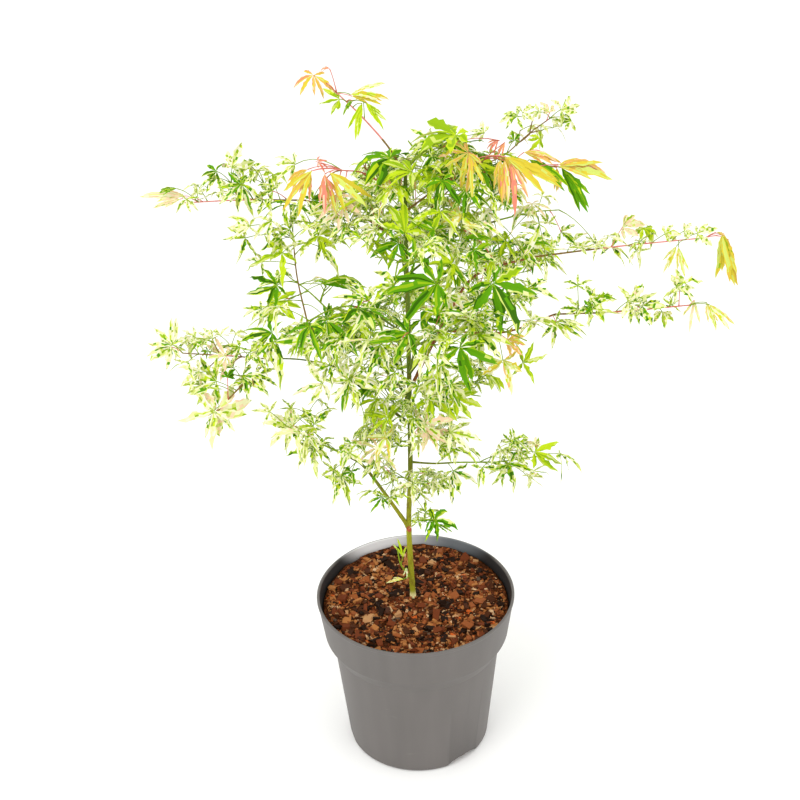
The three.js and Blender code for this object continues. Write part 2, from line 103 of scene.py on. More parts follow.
class Finish:
    """A material in the making: its Principled shader, and one method that adds any other node."""

    def __init__(self, name, colour, roughness):
        self.material = bpy.data.materials.new(name)
        self.material.use_nodes = True
        self.tree = self.material.node_tree
        self.shader = self.tree.nodes["Principled BSDF"]
        self.material.diffuse_color = colour
        self.shade({"Base Color": colour, "Roughness": roughness})

    def feed(self, socket, value):
        if isinstance(value, Wire):
            self.tree.links.new(value.socket, socket)
        else:
            socket.default_value = value

    def shade(self, inputs):
        """Sets or links sockets of the Principled shader."""
        for key, value in inputs.items():
            self.feed(self.shader.inputs[key], value)

    def node(self, kind, settings, inputs, output=0):
        """Any node: its settings come first, then the values or links of its sockets."""
        made = self.tree.nodes.new(kind)
        for key, value in settings.items():
            if key == "stops":
                self.stops(made.color_ramp.elements, value)
            else:
                setattr(made, key, value)
        for key, value in inputs.items():
            self.feed(made.inputs[key], value)
        return Wire(self, made.outputs[output])

    def stops(self, elements, stops):
        while len(elements) < len(stops):
            elements.new(1.0)
        for element, (place, colour) in zip(elements, stops):
            element.position = place
            element.color = colour

    def place(self):
        """Where a point is on the object, in metres."""
        return self.node("ShaderNodeTexCoord", {}, {}, "Object")

    def stretched(self, x, y, z):
        """Object coordinates scaled along each axis, which stretches whatever reads them."""
        return self.node("ShaderNodeMapping", {}, {"Vector": self.place(), "Scale": (x, y, z)})

    def noise(self, where, scale, detail=3.0, roughness=0.55):
        inputs = {"Vector": where, "Scale": scale, "Detail": detail, "Roughness": roughness}
        return self.node("ShaderNodeTexNoise", {}, inputs)

    def mix(self, share, first, second, blend="MIX"):
        """Two colours mixed by a share from 0 to 1."""
        settings = {"data_type": "RGBA", "blend_type": blend}
        return self.node("ShaderNodeMix", settings, {0: share, 6: first, 7: second}, 2)

    def ramp(self, value, stops):
        return self.node("ShaderNodeValToRGB", {"stops": stops}, {"Fac": value})

    def bump(self, height, depth, strength=1.0):
        inputs = {"Height": height, "Distance": depth, "Strength": strength}
        self.shade({"Normal": self.node("ShaderNodeBump", {}, inputs)})


SHEEN = 0.08
# painted glow: leaves and twigs give off a little light of their own colour, standing in for light let
# through the blades
PAINTED_GLOW = 0.135
LEAF_ROUGHNESS = 0.6


def plain_finish(name, rgb, glow=PAINTED_GLOW):
    """One plain colour with little shine, and a faint painted glow: emission of its own colour that stands
    in for the light a thin blade lets through and keeps shaded leaves and stalks bright."""
    colour = linear(*rgb)
    finish = Finish(name, colour, LEAF_ROUGHNESS)
    # painted glow: the emission stands in for light let through the blade and lifts its shade
    finish.shade({"Specular IOR Level": SHEEN, "Emission Color": colour, "Emission Strength": glow})
    return finish.material


# %% [markdown]
# ## Meshes from arrays
#
# A surface here is a grid of points worked out by a formula of two numbers, such as the height and the
# turn round the axis. The two helpers below make the faces of such a grid and hand a whole array of
# points to Blender in one call, which is far quicker than adding vertices one at a time.

# %% Mesh helpers
WAVE_PITCHES, WAVE_GAIN = (0.7, 1.4), 1.6


def unit(vectors):
    return vectors / np.linalg.norm(vectors, axis=-1, keepdims=True)


def grid_faces(rows, columns):
    """Quads of a grid numbered row by row, whose last column joins the first."""
    row, column = np.meshgrid(np.arange(rows - 1), np.arange(columns), indexing="ij")
    here = row * columns + column
    beside = row * columns + (column + 1) % columns
    return np.stack([here, beside, beside + columns, here + columns], axis=-1).reshape(-1, 4)


def fan_faces(pole, ring):
    """Triangles from one point to each edge of a closed ring."""
    return np.stack([np.full(len(ring), pole), ring, np.roll(ring, -1)], axis=-1)


def add_piece(name, points, faces, materials, slots=None, smooth=True, creased=None):
    """One object from points in millimetres, arrays of faces, and a material slot for each face. Edges
    between two creased points stay sharp."""
    mesh = bpy.data.meshes.new(name)
    corners = np.concatenate([f.ravel() for f in faces])
    sizes = np.concatenate([np.full(len(f), f.shape[1]) for f in faces])
    mesh.vertices.add(len(points))
    mesh.vertices.foreach_set("co", (np.asarray(points) * MM).ravel())
    mesh.loops.add(len(corners))
    mesh.loops.foreach_set("vertex_index", corners.astype(np.int32))
    mesh.polygons.add(len(sizes))
    mesh.polygons.foreach_set("loop_start", np.concatenate([[0], np.cumsum(sizes)[:-1]]).astype(np.int32))
    for material in materials:
        mesh.materials.append(material)
    if slots is not None:
        mesh.polygons.foreach_set("material_index", slots.astype(np.int32))
    mesh.polygons.foreach_set("use_smooth", np.full(len(sizes), smooth))
    mesh.update(calc_edges=True)
    if creased is not None:
        ends = np.empty(len(mesh.edges) * 2, np.int32)
        mesh.edges.foreach_get("vertices", ends)
        mesh.edges.foreach_set("use_edge_sharp", creased[ends.reshape(-1, 2)].all(axis=1))
    piece = bpy.data.objects.new(name, mesh)
    bpy.context.scene.collection.objects.link(piece)
    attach(piece, "root")
    return piece


def waves(x, y, count, pitch, seed):
    """Gentle lumps, mostly from -1 to 1: a mean of sine waves in seeded directions, about a pitch apart."""
    chance = np.random.default_rng(seed)
    turn = chance.uniform(0, 2 * np.pi, count)
    rate = 2 * np.pi / (pitch * chance.uniform(*WAVE_PITCHES, count))
    start = chance.uniform(0, 2 * np.pi, count)
    along = np.multiply.outer(x, np.cos(turn)) + np.multiply.outer(y, np.sin(turn))
    return np.sin(along * rate + start).mean(axis=-1) * WAVE_GAIN


# %% [markdown]
# ## Camera, floor and light
#
# The camera looks down on the plant a little. Its place and lens were worked out from the pot, whose rim
# and foot are circles of known size. White surroundings do most of the lighting, and one large lamp from
# the upper left gives the forms their soft shape, with a weaker one on the right.

# %% Studio
EYE = np.array([0.0, -1086.0, 985.0])
YAW, PITCH, ROLL = np.radians([-0.48, 29.21, -1.8])
LENS, SENSOR = 63.0, 36.0
SKY_STRENGTH = 1.2
PAPER_REACH, PAPER_DROP = 9000.0, 0.2
LAMP_AIM = np.array([0.0, 0.0, 0.4])
LAMPS = {
    "key_lamp": {"place": (-1.3, -1.5, 2.1), "size": 1.6, "power": 26.0},
    "fill_lamp": {"place": (1.9, -0.9, 1.2), "size": 1.8, "power": 10.0},
}


def add_camera():
    """A camera that looks down by PITCH, with its picture turned by ROLL."""
    ahead = np.array([math.sin(YAW) * math.cos(PITCH), math.cos(YAW) * math.cos(PITCH), -math.sin(PITCH)])
    level = np.array([math.cos(YAW), -math.sin(YAW), 0.0])
    above = np.cross(level, ahead)
    right = level * math.cos(ROLL) + above * math.sin(ROLL)
    over = above * math.cos(ROLL) - level * math.sin(ROLL)
    placed = np.eye(4)
    placed[:3, :4] = np.stack([right, over, -ahead, EYE * MM], axis=1)
    data = bpy.data.cameras.new("camera")
    data.lens = LENS
    data.sensor_width = SENSOR
    camera = bpy.data.objects.new("camera", data)
    camera.matrix_world = Matrix(placed.tolist())
    bpy.context.scene.collection.objects.link(camera)
    bpy.context.scene.camera = camera


def add_lamp(name, place, size, power):
    """A square lamp, its place and size in metres and its power in watts, that shines at LAMP_AIM."""
    data = bpy.data.lights.new(name, "AREA")
    data.size = size
    data.energy = power
    lamp = bpy.data.objects.new(name, data)
    lamp.location = place
    back = unit(np.array(place) - LAMP_AIM)
    side = unit(np.cross(UP, back))
    lamp.rotation_euler = Matrix(np.stack([side, np.cross(back, side), back], axis=1).tolist()).to_euler()
    bpy.context.scene.collection.objects.link(lamp)


def add_studio():
    world = bpy.data.worlds.new("studio")
    world.use_nodes = True
    sky = world.node_tree.nodes["Background"].inputs
    sky["Color"].default_value = (1.0, 1.0, 1.0, 1.0)
    sky["Strength"].default_value = SKY_STRENGTH
    bpy.context.scene.world = world
    bpy.context.scene.view_settings.view_transform = "Standard"
    corners = np.array([[-1, -1, 0], [1, -1, 0], [1, 1, 0], [-1, 1, 0]]) * PAPER_REACH - UP * PAPER_DROP
    paper = Finish("white_paper", linear(246, 246, 244), 0.9)
    floor = add_piece("floor", corners, [np.array([[0, 1, 2, 3]])], [paper.material])
    for name, lamp in LAMPS.items():
        add_lamp(name, **lamp)
    print("camera at", EYE, "mm, lens", LENS, "mm")


add_camera()
add_studio()

# %% [markdown]
# ## The pot
#
# The pot is thin moulded plastic: a tapering wall, a deep collar that stacks on the next pot, a rolled
# lip and arched notches in the foot that let water out. It is a solid of revolution, so its outline is
# drawn once, its corners are rounded, and it is turned about the axis. The notches are cut out with a
# Boolean modifier.

# %% Pot sizes
RIM_RADIUS, POT_HEIGHT = 95.0, 167.0
COLLAR_FOOT_RADIUS, COLLAR_FOOT_Z = 89.0, 126.0
WAIST_RADIUS, WAIST_Z = 80.5, 111.0
BASE_RADIUS = 69.5
WALL, LIP, BEVEL, BEND = 2.2, 2.4, 2.0, 1.2
COLLAR_MIDDLE, LIP_MIDDLE = COLLAR_FOOT_RADIUS - WALL / 2, RIM_RADIUS - LIP / 2
COLLAR_LEAN = (LIP_MIDDLE - COLLAR_MIDDLE) / (POT_HEIGHT - COLLAR_FOOT_Z)
NOTCH_ANGLES = np.radians([-52.0, 68.0, 188.0])
NOTCH_WIDTH, NOTCH_HEIGHT, NOTCH_DEPTH = 37.0, 8.0, 11.0
NOTCH_STATIONS, NOTCH_BELOW = 25, 2.0
TURNS = 180


def rounded(outline, radius, steps=4):
    """An outline with each inner corner replaced by a bend: a quadratic curve between points near it."""
    corner = np.array(outline[1:-1], float)
    before = np.array(outline[:-2], float) - corner
    after = np.array(outline[2:], float) - corner
    shorter = np.minimum(np.linalg.norm(before, axis=1), np.linalg.norm(after, axis=1))
    cut = np.minimum(radius, shorter * 0.45)
    start = corner + unit(before) * cut[:, None]
    end = corner + unit(after) * cut[:, None]
    t = np.linspace(0, 1, steps + 1)[None, :, None]
    bends = start[:, None] * (1 - t) ** 2 + corner[:, None] * 2 * t * (1 - t) + end[:, None] * t**2
    return np.vstack([outline[:1], bends.reshape(-1, 2), outline[-1:]])


def turned(outline, turns):
    """Points and faces of an outline of radius and height turned about the axis, from pole to pole."""
    radius, height = outline[1:-1].T
    turn = np.linspace(0, 2 * np.pi, turns, endpoint=False)
    across, over = np.outer(radius, np.cos(turn)), np.outer(radius, np.sin(turn))
    ring = np.stack([across, over, np.outer(height, np.ones(turns))], axis=-1)
    points = np.vstack([ring.reshape(-1, 3), [[0, 0, outline[0][1]], [0, 0, outline[-1][1]]]])
    count = len(points)
    first = fan_faces(count - 2, np.arange(turns)[::-1])
    last = fan_faces(count - 1, np.arange(turns) + (len(radius) - 1) * turns)
    return points, [grid_faces(len(radius), turns), first, last]


def notch_cutters():
    """Arched blocks through the foot: half an ellipse carried outwards along each notch's own direction."""
    turn = np.linspace(np.pi, 0, NOTCH_STATIONS)
    across = np.concatenate([[-NOTCH_WIDTH / 2], np.cos(turn) * NOTCH_WIDTH / 2, [NOTCH_WIDTH / 2]])
    height = np.concatenate([[-NOTCH_BELOW], np.sin(turn) * NOTCH_HEIGHT, [-NOTCH_BELOW]])
    count = len(across)
    points, faces = [], []
    for angle in NOTCH_ANGLES:
        out = np.array([np.cos(angle), np.sin(angle), 0.0])
        side = np.array([-np.sin(angle), np.cos(angle), 0.0])
        for far in (BASE_RADIUS - NOTCH_DEPTH, BASE_RADIUS + NOTCH_DEPTH):
            points.append(out * far + np.outer(across, side) + np.outer(height, UP))
        start = (len(points) - 2) * count
        inner = np.arange(count) + start
        faces.append(grid_faces(2, count)[:, ::-1] + start)
        faces.append(inner[None, :])
        faces.append(inner[None, ::-1] + count)
    return np.vstack(points), faces


def apply_modifiers(piece):
    """Replaces a piece's mesh by the same mesh with its modifiers carried out."""
    graph = bpy.context.evaluated_depsgraph_get()
    done = bpy.data.meshes.new_from_object(piece.evaluated_get(graph), depsgraph=graph)
    piece.modifiers.clear()
    piece.data = done


# %% Pot finish
PLASTIC, PLASTIC_DARK, PLASTIC_LIGHT = linear(96, 92, 89), linear(90, 86, 83), linear(102, 97, 94)
SCUFFED = linear(126, 122, 118)
# painted shade and light inside the pot: near black in the shade, pale on the back wall where light falls,
# paler on the left
PAINTED_INSIDE_SHADE, PAINTED_LIGHT_LEFT, PAINTED_LIGHT_RIGHT = linear(30, 28, 28), linear(222, 220, 222), linear(108, 113, 118)
PAINTED_LIGHT_FROM, PAINTED_LIGHT_TO = 152.0, 178.0


def moulded_plastic():
    """Warm grey recycled plastic: faint clouds, vertical flow marks from the mould and a fine satin grain.
    The inside is painted shade, near black, with painted light making the back wall pale, paler on the left."""
    finish = Finish("moulded_plastic", PLASTIC, 0.55)
    clouds = finish.noise(finish.place(), 9.0)
    flow = finish.noise(finish.stretched(60.0, 60.0, 3.0), 1.0, 2.0)
    grain = finish.noise(finish.place(), 900.0, 2.0)
    colour = finish.ramp(clouds * 0.6 + flow * 0.4, [(0.3, PLASTIC_DARK), (0.7, PLASTIC_LIGHT)])
    scuffs = finish.noise(finish.stretched(35.0, 35.0, 160.0), 1.0, 4.0).above(0.66, 0.78)
    colour = finish.mix(scuffs * 0.35, colour, SCUFFED)
    parts = finish.node("ShaderNodeSeparateXYZ", {}, {0: finish.place()})
    x, y, z = (Wire(finish, parts.socket.node.outputs[k]) * 1000 for k in range(3))
    # painted light on the inside back wall, paler on the left, over painted shade that is near black
    painted_back_light = finish.mix(x.above(-30.0, 40.0), PAINTED_LIGHT_LEFT, PAINTED_LIGHT_RIGHT)
    painted_inside_light_and_shade = finish.mix((y + z * 0.6).above(PAINTED_LIGHT_FROM, PAINTED_LIGHT_TO), PAINTED_INSIDE_SHADE, painted_back_light)
    colour = finish.mix(inner_shade(finish, x, y, z), colour, painted_inside_light_and_shade)
    finish.shade({"Base Color": colour, "Roughness": 0.46 + clouds * 0.2 + scuffs * 0.1})
    finish.bump(grain * 0.5 + flow * 0.5, 0.0002, 0.35)
    return finish.material


def inner_shade(finish, x, y, z):
    """1 on the inside wall, from the collar's foot up to the lip, and on the lip at the back, else 0: where
    the painted shade and light of the inside go. The border runs through the middle of the wall. Lengths are
    in millimetres."""
    level = finish.node("ShaderNodeCombineXYZ", {}, {0: x, 1: y})
    flat = finish.node("ShaderNodeVectorMath", {"operation": "LENGTH"}, {0: level}, 1)
    inwards = COLLAR_MIDDLE + (z - COLLAR_FOOT_Z) * COLLAR_LEAN - flat
    on_front_lip = z.above(POT_HEIGHT - 2.5, POT_HEIGHT - 1.5) * (1 - y.above(40.0, 60.0))
    return inwards.above(0.0, 0.6) * (1 - on_front_lip) * z.above(COLLAR_FOOT_Z, COLLAR_FOOT_Z + 2)


# %% Pot piece
def make_pot():
    outline = [
        (0, 0),
        (BASE_RADIUS - BEVEL, 0),
        (BASE_RADIUS, BEVEL),
        (WAIST_RADIUS, WAIST_Z),
        (COLLAR_FOOT_RADIUS, COLLAR_FOOT_Z),
        (RIM_RADIUS - 0.8, POT_HEIGHT - LIP - 1),
        (RIM_RADIUS, POT_HEIGHT - LIP),
        (RIM_RADIUS, POT_HEIGHT),
        (RIM_RADIUS - LIP, POT_HEIGHT),
        (COLLAR_FOOT_RADIUS - WALL, COLLAR_FOOT_Z),
        (WAIST_RADIUS - WALL, WAIST_Z),
        (BASE_RADIUS - WALL, WALL + 1),
        (0, WALL),
    ]
    points, faces = turned(rounded(outline, BEND), TURNS)
    pot = add_piece("pot_wall", points, faces, [moulded_plastic()])
    block = add_piece("notch_blocks", *notch_cutters(), [])
    cut = pot.modifiers.new("notches", "BOOLEAN")
    cut.object = block
    cut.solver = "EXACT"
    apply_modifiers(pot)
    bpy.data.objects.remove(block)
    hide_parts("pot")
    print("pot faces:", len(pot.data.polygons))


make_pot()

# %% [markdown]
# ## The growing medium
#
# The pot is filled with composted bark: a crumbly brown bed with loose chips lying on it, from crumbs to
# flakes as long as a fingernail. The bed is one turned surface with gentle lumps that rises a little to
# the back. The chips are boxes with their corners knocked about, made as one array, in a handful of plain
# colours.

# %% Medium sizes and finish
MEDIUM_TOP, MEDIUM_EDGE, MEDIUM_LEVEL = 154.2, 152.6, 62.0
EDGE_RADIUS = 89.2
SLOPE = 0.07
LUMPS = [(1.3, 26, 3), (0.5, 8, 4)]
BED_RINGS, BED_TURNS = 60, 150
BED_FOOT_RADIUS, BED_FOOT_Z = 66.7, 3.5
CHIP_COLOURS = {
    "chip_black": (34, 18, 8),
    "chip_dark": (68, 34, 14),
    "chip_umber": (104, 50, 24),
    "chip_brown": (138, 76, 38),
    "chip_tan": (162, 104, 56),
    "chip_sand": (180, 132, 88),
    "chip_straw": (202, 164, 124),
    "chip_orange": (196, 92, 36),
    "chip_grey": (84, 68, 56),
}
CHIP_SHARES = [0.13, 0.16, 0.18, 0.2, 0.17, 0.1, 0.035]
ODD_CHIPS = 0.025
CRUMB_STOPS = [(0.3, (26, 13, 6)), (0.48, (72, 36, 14)), (0.62, (112, 58, 24)), (0.8, (156, 100, 54))]


def crumbly_bed():
    """Damp compost: dark crumbs with redder fibres, rough all over."""
    finish = Finish("crumbly_bed", linear(70, 42, 24), 0.95)
    crumbs = finish.noise(finish.place(), 420.0, 4.0, 0.7)
    colour = finish.ramp(crumbs, [(place, linear(*rgb)) for place, rgb in CRUMB_STOPS])
    finish.shade({"Base Color": colour, "Specular IOR Level": SHEEN})
    finish.bump(crumbs, 0.0015)
    return finish.material


def medium_height(x, y):
    """The bed's top: nearly level round the trunk, falling to the wall, higher at the back, with lumps. Each
    of the LUMPS has a height, a pitch and a seed."""
    fall = np.clip((np.hypot(x, y) - MEDIUM_LEVEL) / (EDGE_RADIUS - MEDIUM_LEVEL), 0, 1)
    level = MEDIUM_TOP + (MEDIUM_EDGE - MEDIUM_TOP) * fall
    return level + SLOPE * y + sum(height * waves(x, y, 9, pitch, seed) for height, pitch, seed in LUMPS)


def make_bed():
    top = [(r, MEDIUM_TOP) for r in np.linspace(0.5, EDGE_RADIUS, BED_RINGS)]
    side = [
        (EDGE_RADIUS - 3.0, COLLAR_FOOT_Z),
        (WAIST_RADIUS - WALL - 0.6, WAIST_Z),
        (BED_FOOT_RADIUS, BED_FOOT_Z),
    ]
    outline = np.array([(0, MEDIUM_TOP), *top, *side, (0, BED_FOOT_Z - 1)])[::-1]
    points, faces = turned(outline, BED_TURNS)
    on_top = points[:, 2] > MEDIUM_TOP - 0.1
    points[on_top, 2] = medium_height(points[on_top, 0], points[on_top, 1])
    bed = add_piece("medium_bed", points, faces, [crumbly_bed()])
    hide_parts("growing_medium")


# %% Loose chips
CHIP_COUNT = 6200
CHIP_LENGTHS, CHIP_LOG_MEAN, CHIP_LOG_SPREAD = (1.1, 10.0), 0.93, 0.52
CHIP_WIDTHS, CHIP_THICKNESSES = (0.35, 0.8), (0.15, 0.45)
CHIP_SHAKE, CHIP_TILT, CHIP_LIFTS = 0.17, 0.45, (0.1, 0.7)
BOX = np.array([[0, 1, 3, 2], [4, 6, 7, 5], [0, 4, 5, 1], [2, 3, 7, 6], [0, 2, 6, 4], [1, 5, 7, 3]])


def random_turns(chance, count, tilt):
    """Rotation matrices: a free turn about the upright axis after a small tilt about a level one."""
    spin, _, way = chance.uniform(0, 2 * np.pi, (3, count))
    lean = chance.normal(0, tilt, count)
    return turn_about(UP, spin) @ turn_about(np.stack([np.cos(way), np.sin(way), way * 0], axis=-1), lean)


def turn_about(axis, angle):
    """Rodrigues' rotation for arrays of axes and angles: I + sin(a) K + (1 - cos(a)) K squared."""
    axis = np.broadcast_to(axis, (*np.shape(angle), 3))
    x, y, z = axis[..., 0], axis[..., 1], axis[..., 2]
    none = np.zeros_like(x)
    k = np.stack([none, -z, y, z, none, -x, -y, x, none], axis=-1).reshape(*x.shape, 3, 3)
    angle = np.asarray(angle)[..., None, None]
    return np.eye(3) + np.sin(angle) * k + (1 - np.cos(angle)) * (k @ k)


def chip_tints(chance, x, y, length):
    """A tint for each chip: darker in patches and on large chips, with a few chips of odd colours."""
    tone = waves(x, y, 9, 30, 5) * 0.6 + chance.normal(0, 1, CHIP_COUNT) - 0.13 * length
    tint = np.searchsorted(np.quantile(tone, np.cumsum(CHIP_SHARES)), tone).clip(0, len(CHIP_SHARES) - 1)
    odd = chance.random(CHIP_COUNT) < ODD_CHIPS
    tint[odd] = chance.integers(len(CHIP_SHARES), len(CHIP_COLOURS), odd.sum())
    return tint


def make_chips():
    """Boxes with shaken corners, strewn evenly over the bed: radius goes as the root of a random share."""
    chance = np.random.default_rng(11)
    length = np.clip(chance.lognormal(CHIP_LOG_MEAN, CHIP_LOG_SPREAD, CHIP_COUNT), *CHIP_LENGTHS)
    width = length * chance.uniform(*CHIP_WIDTHS, CHIP_COUNT)
    thickness = length * chance.uniform(*CHIP_THICKNESSES, CHIP_COUNT)
    size = np.stack([length, width, thickness], axis=1)
    radius = (EDGE_RADIUS - 1.5 - length / 2) * np.sqrt(chance.uniform(0.004, 1, CHIP_COUNT))
    turn = chance.uniform(0, 2 * np.pi, CHIP_COUNT)
    x, y = radius * np.cos(turn), radius * np.sin(turn)
    corner = np.array([[i, j, k] for i in (-0.5, 0.5) for j in (-0.5, 0.5) for k in (-0.5, 0.5)])
    shaken = corner + chance.uniform(-CHIP_SHAKE, CHIP_SHAKE, (CHIP_COUNT, 8, 3))
    chips = np.einsum("nij,nkj->nki", random_turns(chance, CHIP_COUNT, CHIP_TILT), shaken * size[:, None])
    lift = thickness * chance.uniform(*CHIP_LIFTS, CHIP_COUNT)
    chips += np.stack([x, y, medium_height(x, y) + lift], axis=1)[:, None]
    faces = (np.arange(CHIP_COUNT)[:, None, None] * 8 + BOX).reshape(-1, 4)
    tints = np.repeat(chip_tints(chance, x, y, length), len(BOX))
    materials = [plain_finish(name, rgb, 0.0) for name, rgb in CHIP_COLOURS.items()]
    piece = add_piece("medium_chips", chips.reshape(-1, 3), [faces], materials, tints, smooth=False)
    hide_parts("growing_medium")
    print("bark chips:", CHIP_COUNT)


make_bed()
make_chips()

# %% [markdown]
# ## Routes of the limbs
#
# Every limb follows a smooth curve through a few points, the same ones that the solids use. The curve is
# a uniform Catmull-Rom spline: between two points it leaves and arrives in the direction of the line
# between their neighbours. A place on it is given as a share of its length.

# %% Curves
class Route:
    """A smooth curve through points, read by its share of length from 0 to 1."""

    def __init__(self, points):
        inner = np.array(points, float)
        self.points = np.vstack([2 * inner[0] - inner[1], inner, 2 * inner[-1] - inner[-2]])
        self.steps = np.linspace(0, 1, 201)
        drawn = self.spot(self.steps)
        self.run = np.concatenate([[0], np.cumsum(np.linalg.norm(np.diff(drawn, axis=0), axis=1))])
        self.length = self.run[-1]

    def spot(self, t):
        """b + m w + (3 (c - b) - 2 m - n) w^2 + (2 (b - c) + m + n) w^3, where m and n are the slopes at b
        and c."""
        spans = len(self.points) - 3
        i = np.minimum((t * spans).astype(int), spans - 1)
        w = (t * spans - i)[:, None]
        a, b, c, d = (self.points[i + k] for k in range(4))
        m, n = (c - a) / 2, (d - b) / 2
        return b + m * w + (3 * (c - b) - 2 * m - n) * w**2 + (2 * (b - c) + m + n) * w**3

    def at(self, share):
        """Points at shares of the length, as an array."""
        return self.spot(np.interp(np.atleast_1d(share) * self.length, self.run, self.steps))

    def ahead(self, share):
        """The direction of travel at one share of the length."""
        near = np.interp(share * self.length, self.run, self.steps)
        ends = self.spot(np.clip([near - 1e-4, near + 1e-4], 0, 1))
        return unit(ends[1] - ends[0])


TRUNK_ROUTE = [[-2.5, 8, 154], [-4.5, 6, 236], [-1.5, 3, 312], [0, 1, 446], [0, 1, 530], [1, 1, 592]]
TRUNK_RADII = (3.7, 1.4)
BOUGHS = {
    "low_left": {"radii": (2.5, 1.6), "route": [[-5, 6, 238], [-40, -15, 314], [-56, -25, 336]]},
    "low_right": {"radii": (1.5, 1.3), "route": [[-1.5, 3, 311], [20, -4, 313], [40, -8, 316]]},
    "left_mid": {
        "radii": (2.3, 1.4), "route": [[-1, 2, 352], [-35, -10, 390], [-61, -20, 423], [-86, -8, 461]],
    },
    "left_outer": {"radii": (1.5, 1.3), "route": [[-61, -20, 423], [-92, -29, 436], [-122, -35, 441]]},
    "second_right": {"radii": (1.8, 1.4), "route": [[-1, 2, 352], [12, -9, 370], [27, -20, 388]]},
    "right_main": {
        "radii": (2.8, 1.5), "route": [[0, 1, 388], [28, 5, 444], [58, 11, 491], [108, 25, 501]],
    },
    "right_lower": {"radii": (1.7, 1.3), "route": [[27, 5, 443], [80, -20, 452], [122, -35, 475]]},
    "upper_left": {"radii": (1.7, 1.3), "route": [[0, 1, 525], [-42, 20, 548], [-85, 35, 555]]},
    "upper_right": {"radii": (1.6, 1.3), "route": [[0, 1, 535], [48, 34, 570], [88, 56, 584]]},
    "right_crown": {"radii": (1.6, 1.3), "route": [[0, 1, 498], [46, 18, 527], [80, 28, 535]]},
    "right_front": {"radii": (1.7, 1.3), "route": [[0, 1, 428], [32, -36, 462], [50, -54, 474]]},
    "front": {"radii": (1.9, 1.4), "route": [[0, 1, 405], [6, -42, 452], [9, -72, 470]]},
    "front_left": {"radii": (1.7, 1.3), "route": [[0, 1, 440], [-30, -40, 484], [-46, -60, 500]]},
    "upper_front": {"radii": (1.6, 1.3), "route": [[0, 1, 486], [-3, -36, 526], [-5, -58, 538]]},
    "back": {"radii": (2.0, 1.4), "route": [[-1, 2, 345], [-6, 56, 372], [-10, 98, 384]]},
    "back_left": {"radii": (1.9, 1.4), "route": [[0, 1, 378], [-46, 54, 412], [-70, 84, 424]]},
    "back_right": {"radii": (1.9, 1.4), "route": [[0, 1, 404], [44, 56, 432], [70, 88, 442]]},
    "upper_back": {"radii": (1.6, 1.3), "route": [[0, 1, 490], [2, 44, 522], [4, 76, 534]]},
}
ROUTES = {"trunk": Route(TRUNK_ROUTE), **{name: Route(bough["route"]) for name, bough in BOUGHS.items()}}
print("trunk length, mm:", round(ROUTES["trunk"].length))

# %% [markdown]
# ## Bark
#
# Maple bark at this age is smooth and green, with faint long ridges, pale pores, and a ring with two bud
# scars at every node. Each limb is a tube whose radius is a function of the distance along it and the
# turn round it, so the rings, the collar at a fork and the root flare are all terms of one sum.

# %% Tubes
def sweep(routes, radii, sides):
    """Closed tubes. Each ring is its centre plus radius (cos a across + sin a over), and a point closes each
    end. routes is tubes by stations by 3, and radii is tubes by stations, or by stations and sides."""
    tubes, stations, _ = routes.shape
    ahead = unit(np.gradient(routes, axis=1))
    across = unit(np.cross(ahead, np.eye(3)[np.abs(ahead.mean(axis=1)).argmin(axis=1)][:, None]))
    over = np.cross(ahead, across)
    turn = np.linspace(0, 2 * np.pi, sides, endpoint=False)
    round_it = across[:, :, None] * np.cos(turn)[:, None] + over[:, :, None] * np.sin(turn)[:, None]
    radii = np.broadcast_to(radii.reshape(tubes, stations, -1), (tubes, stations, sides))
    rings = routes[:, :, None] + round_it * radii[..., None]
    points = np.concatenate([rings.reshape(tubes, -1, 3), routes[:, [0, -1]]], axis=1)
    count = stations * sides
    side_faces = grid_faces(stations, sides)
    ends = np.vstack([
        fan_faces(count, np.arange(sides)[::-1]),
        fan_faces(count + 1, np.arange(sides) + count - sides),
    ])
    shift = (np.arange(tubes) * (count + 2))[:, None, None]
    return points.reshape(-1, 3), (side_faces + shift).reshape(-1, 4), (ends + shift).reshape(-1, 3)


# %% Bark finish
# the second colour of each bark is the one higher up; the green one is darker, partly its own colour and
# partly painted shade of the crown
OLIVE_BARK = [(150, 150, 26), (84, 108, 10), (112, 92, 22), (82, 78, 12)]
RUSSET_BARK = [(132, 112, 34), (130, 78, 34), (96, 54, 26), (72, 60, 18)]
PORE, FOOT_WOOD, SCAR_WOOD = linear(188, 184, 110), linear(232, 222, 160), linear(172, 78, 56)
SCAR = np.array([-3.6, 3.2, 236.5])


def bark(name, low, high, patch, dark):
    """Young bark: one colour low on the plant and one higher up, where the green bark is darker, partly its
    own colour and partly painted shade of the crown, with brown patches, fine dark grain along the limb,
    pale pores, pale wood at the trunk's foot, and one reddish scar at the first fork."""
    finish = Finish(name, low, 0.6)
    place = finish.place()
    height = finish.node("ShaderNodeSeparateXYZ", {}, {0: place}, 2) * 1000
    mottle = finish.noise(finish.stretched(1.0, 1.0, 0.35), 260.0, 4.0)
    grain = finish.noise(finish.stretched(1.0, 1.0, 0.12), 1500.0, 3.0)
    pores = finish.noise(place, 700.0, 2.0).above(0.66, 0.72)
    from_scar = finish.node("ShaderNodeVectorMath", {"operation": "DISTANCE"}, {0: place, 1: SCAR * MM}, 1)
    # partly painted shade: the darker green higher up stands in for the crown's shade on the limbs
    colour = finish.mix(height.above(240.0, 360.0), low, high)
    colour = finish.mix(mottle.above(0.5, 0.64) * 0.6, colour, patch)
    colour = finish.mix(grain.above(0.52, 0.72) * 0.5, colour, dark)
    colour = finish.mix(pores * 0.4, colour, PORE)
    colour = finish.mix(1 - height.above(156.0, 164.0), colour, FOOT_WOOD)
    colour = finish.mix(1 - (from_scar * 1000).above(2.6, 4.2), colour, SCAR_WOOD)
    finish.shade({"Base Color": colour, "Roughness": 0.5 + mottle * 0.3, "Specular IOR Level": 0.25})
    finish.bump(grain * 0.5 + mottle * 0.5 + pores * 0.4, 0.0006, 0.6)
    return finish.material


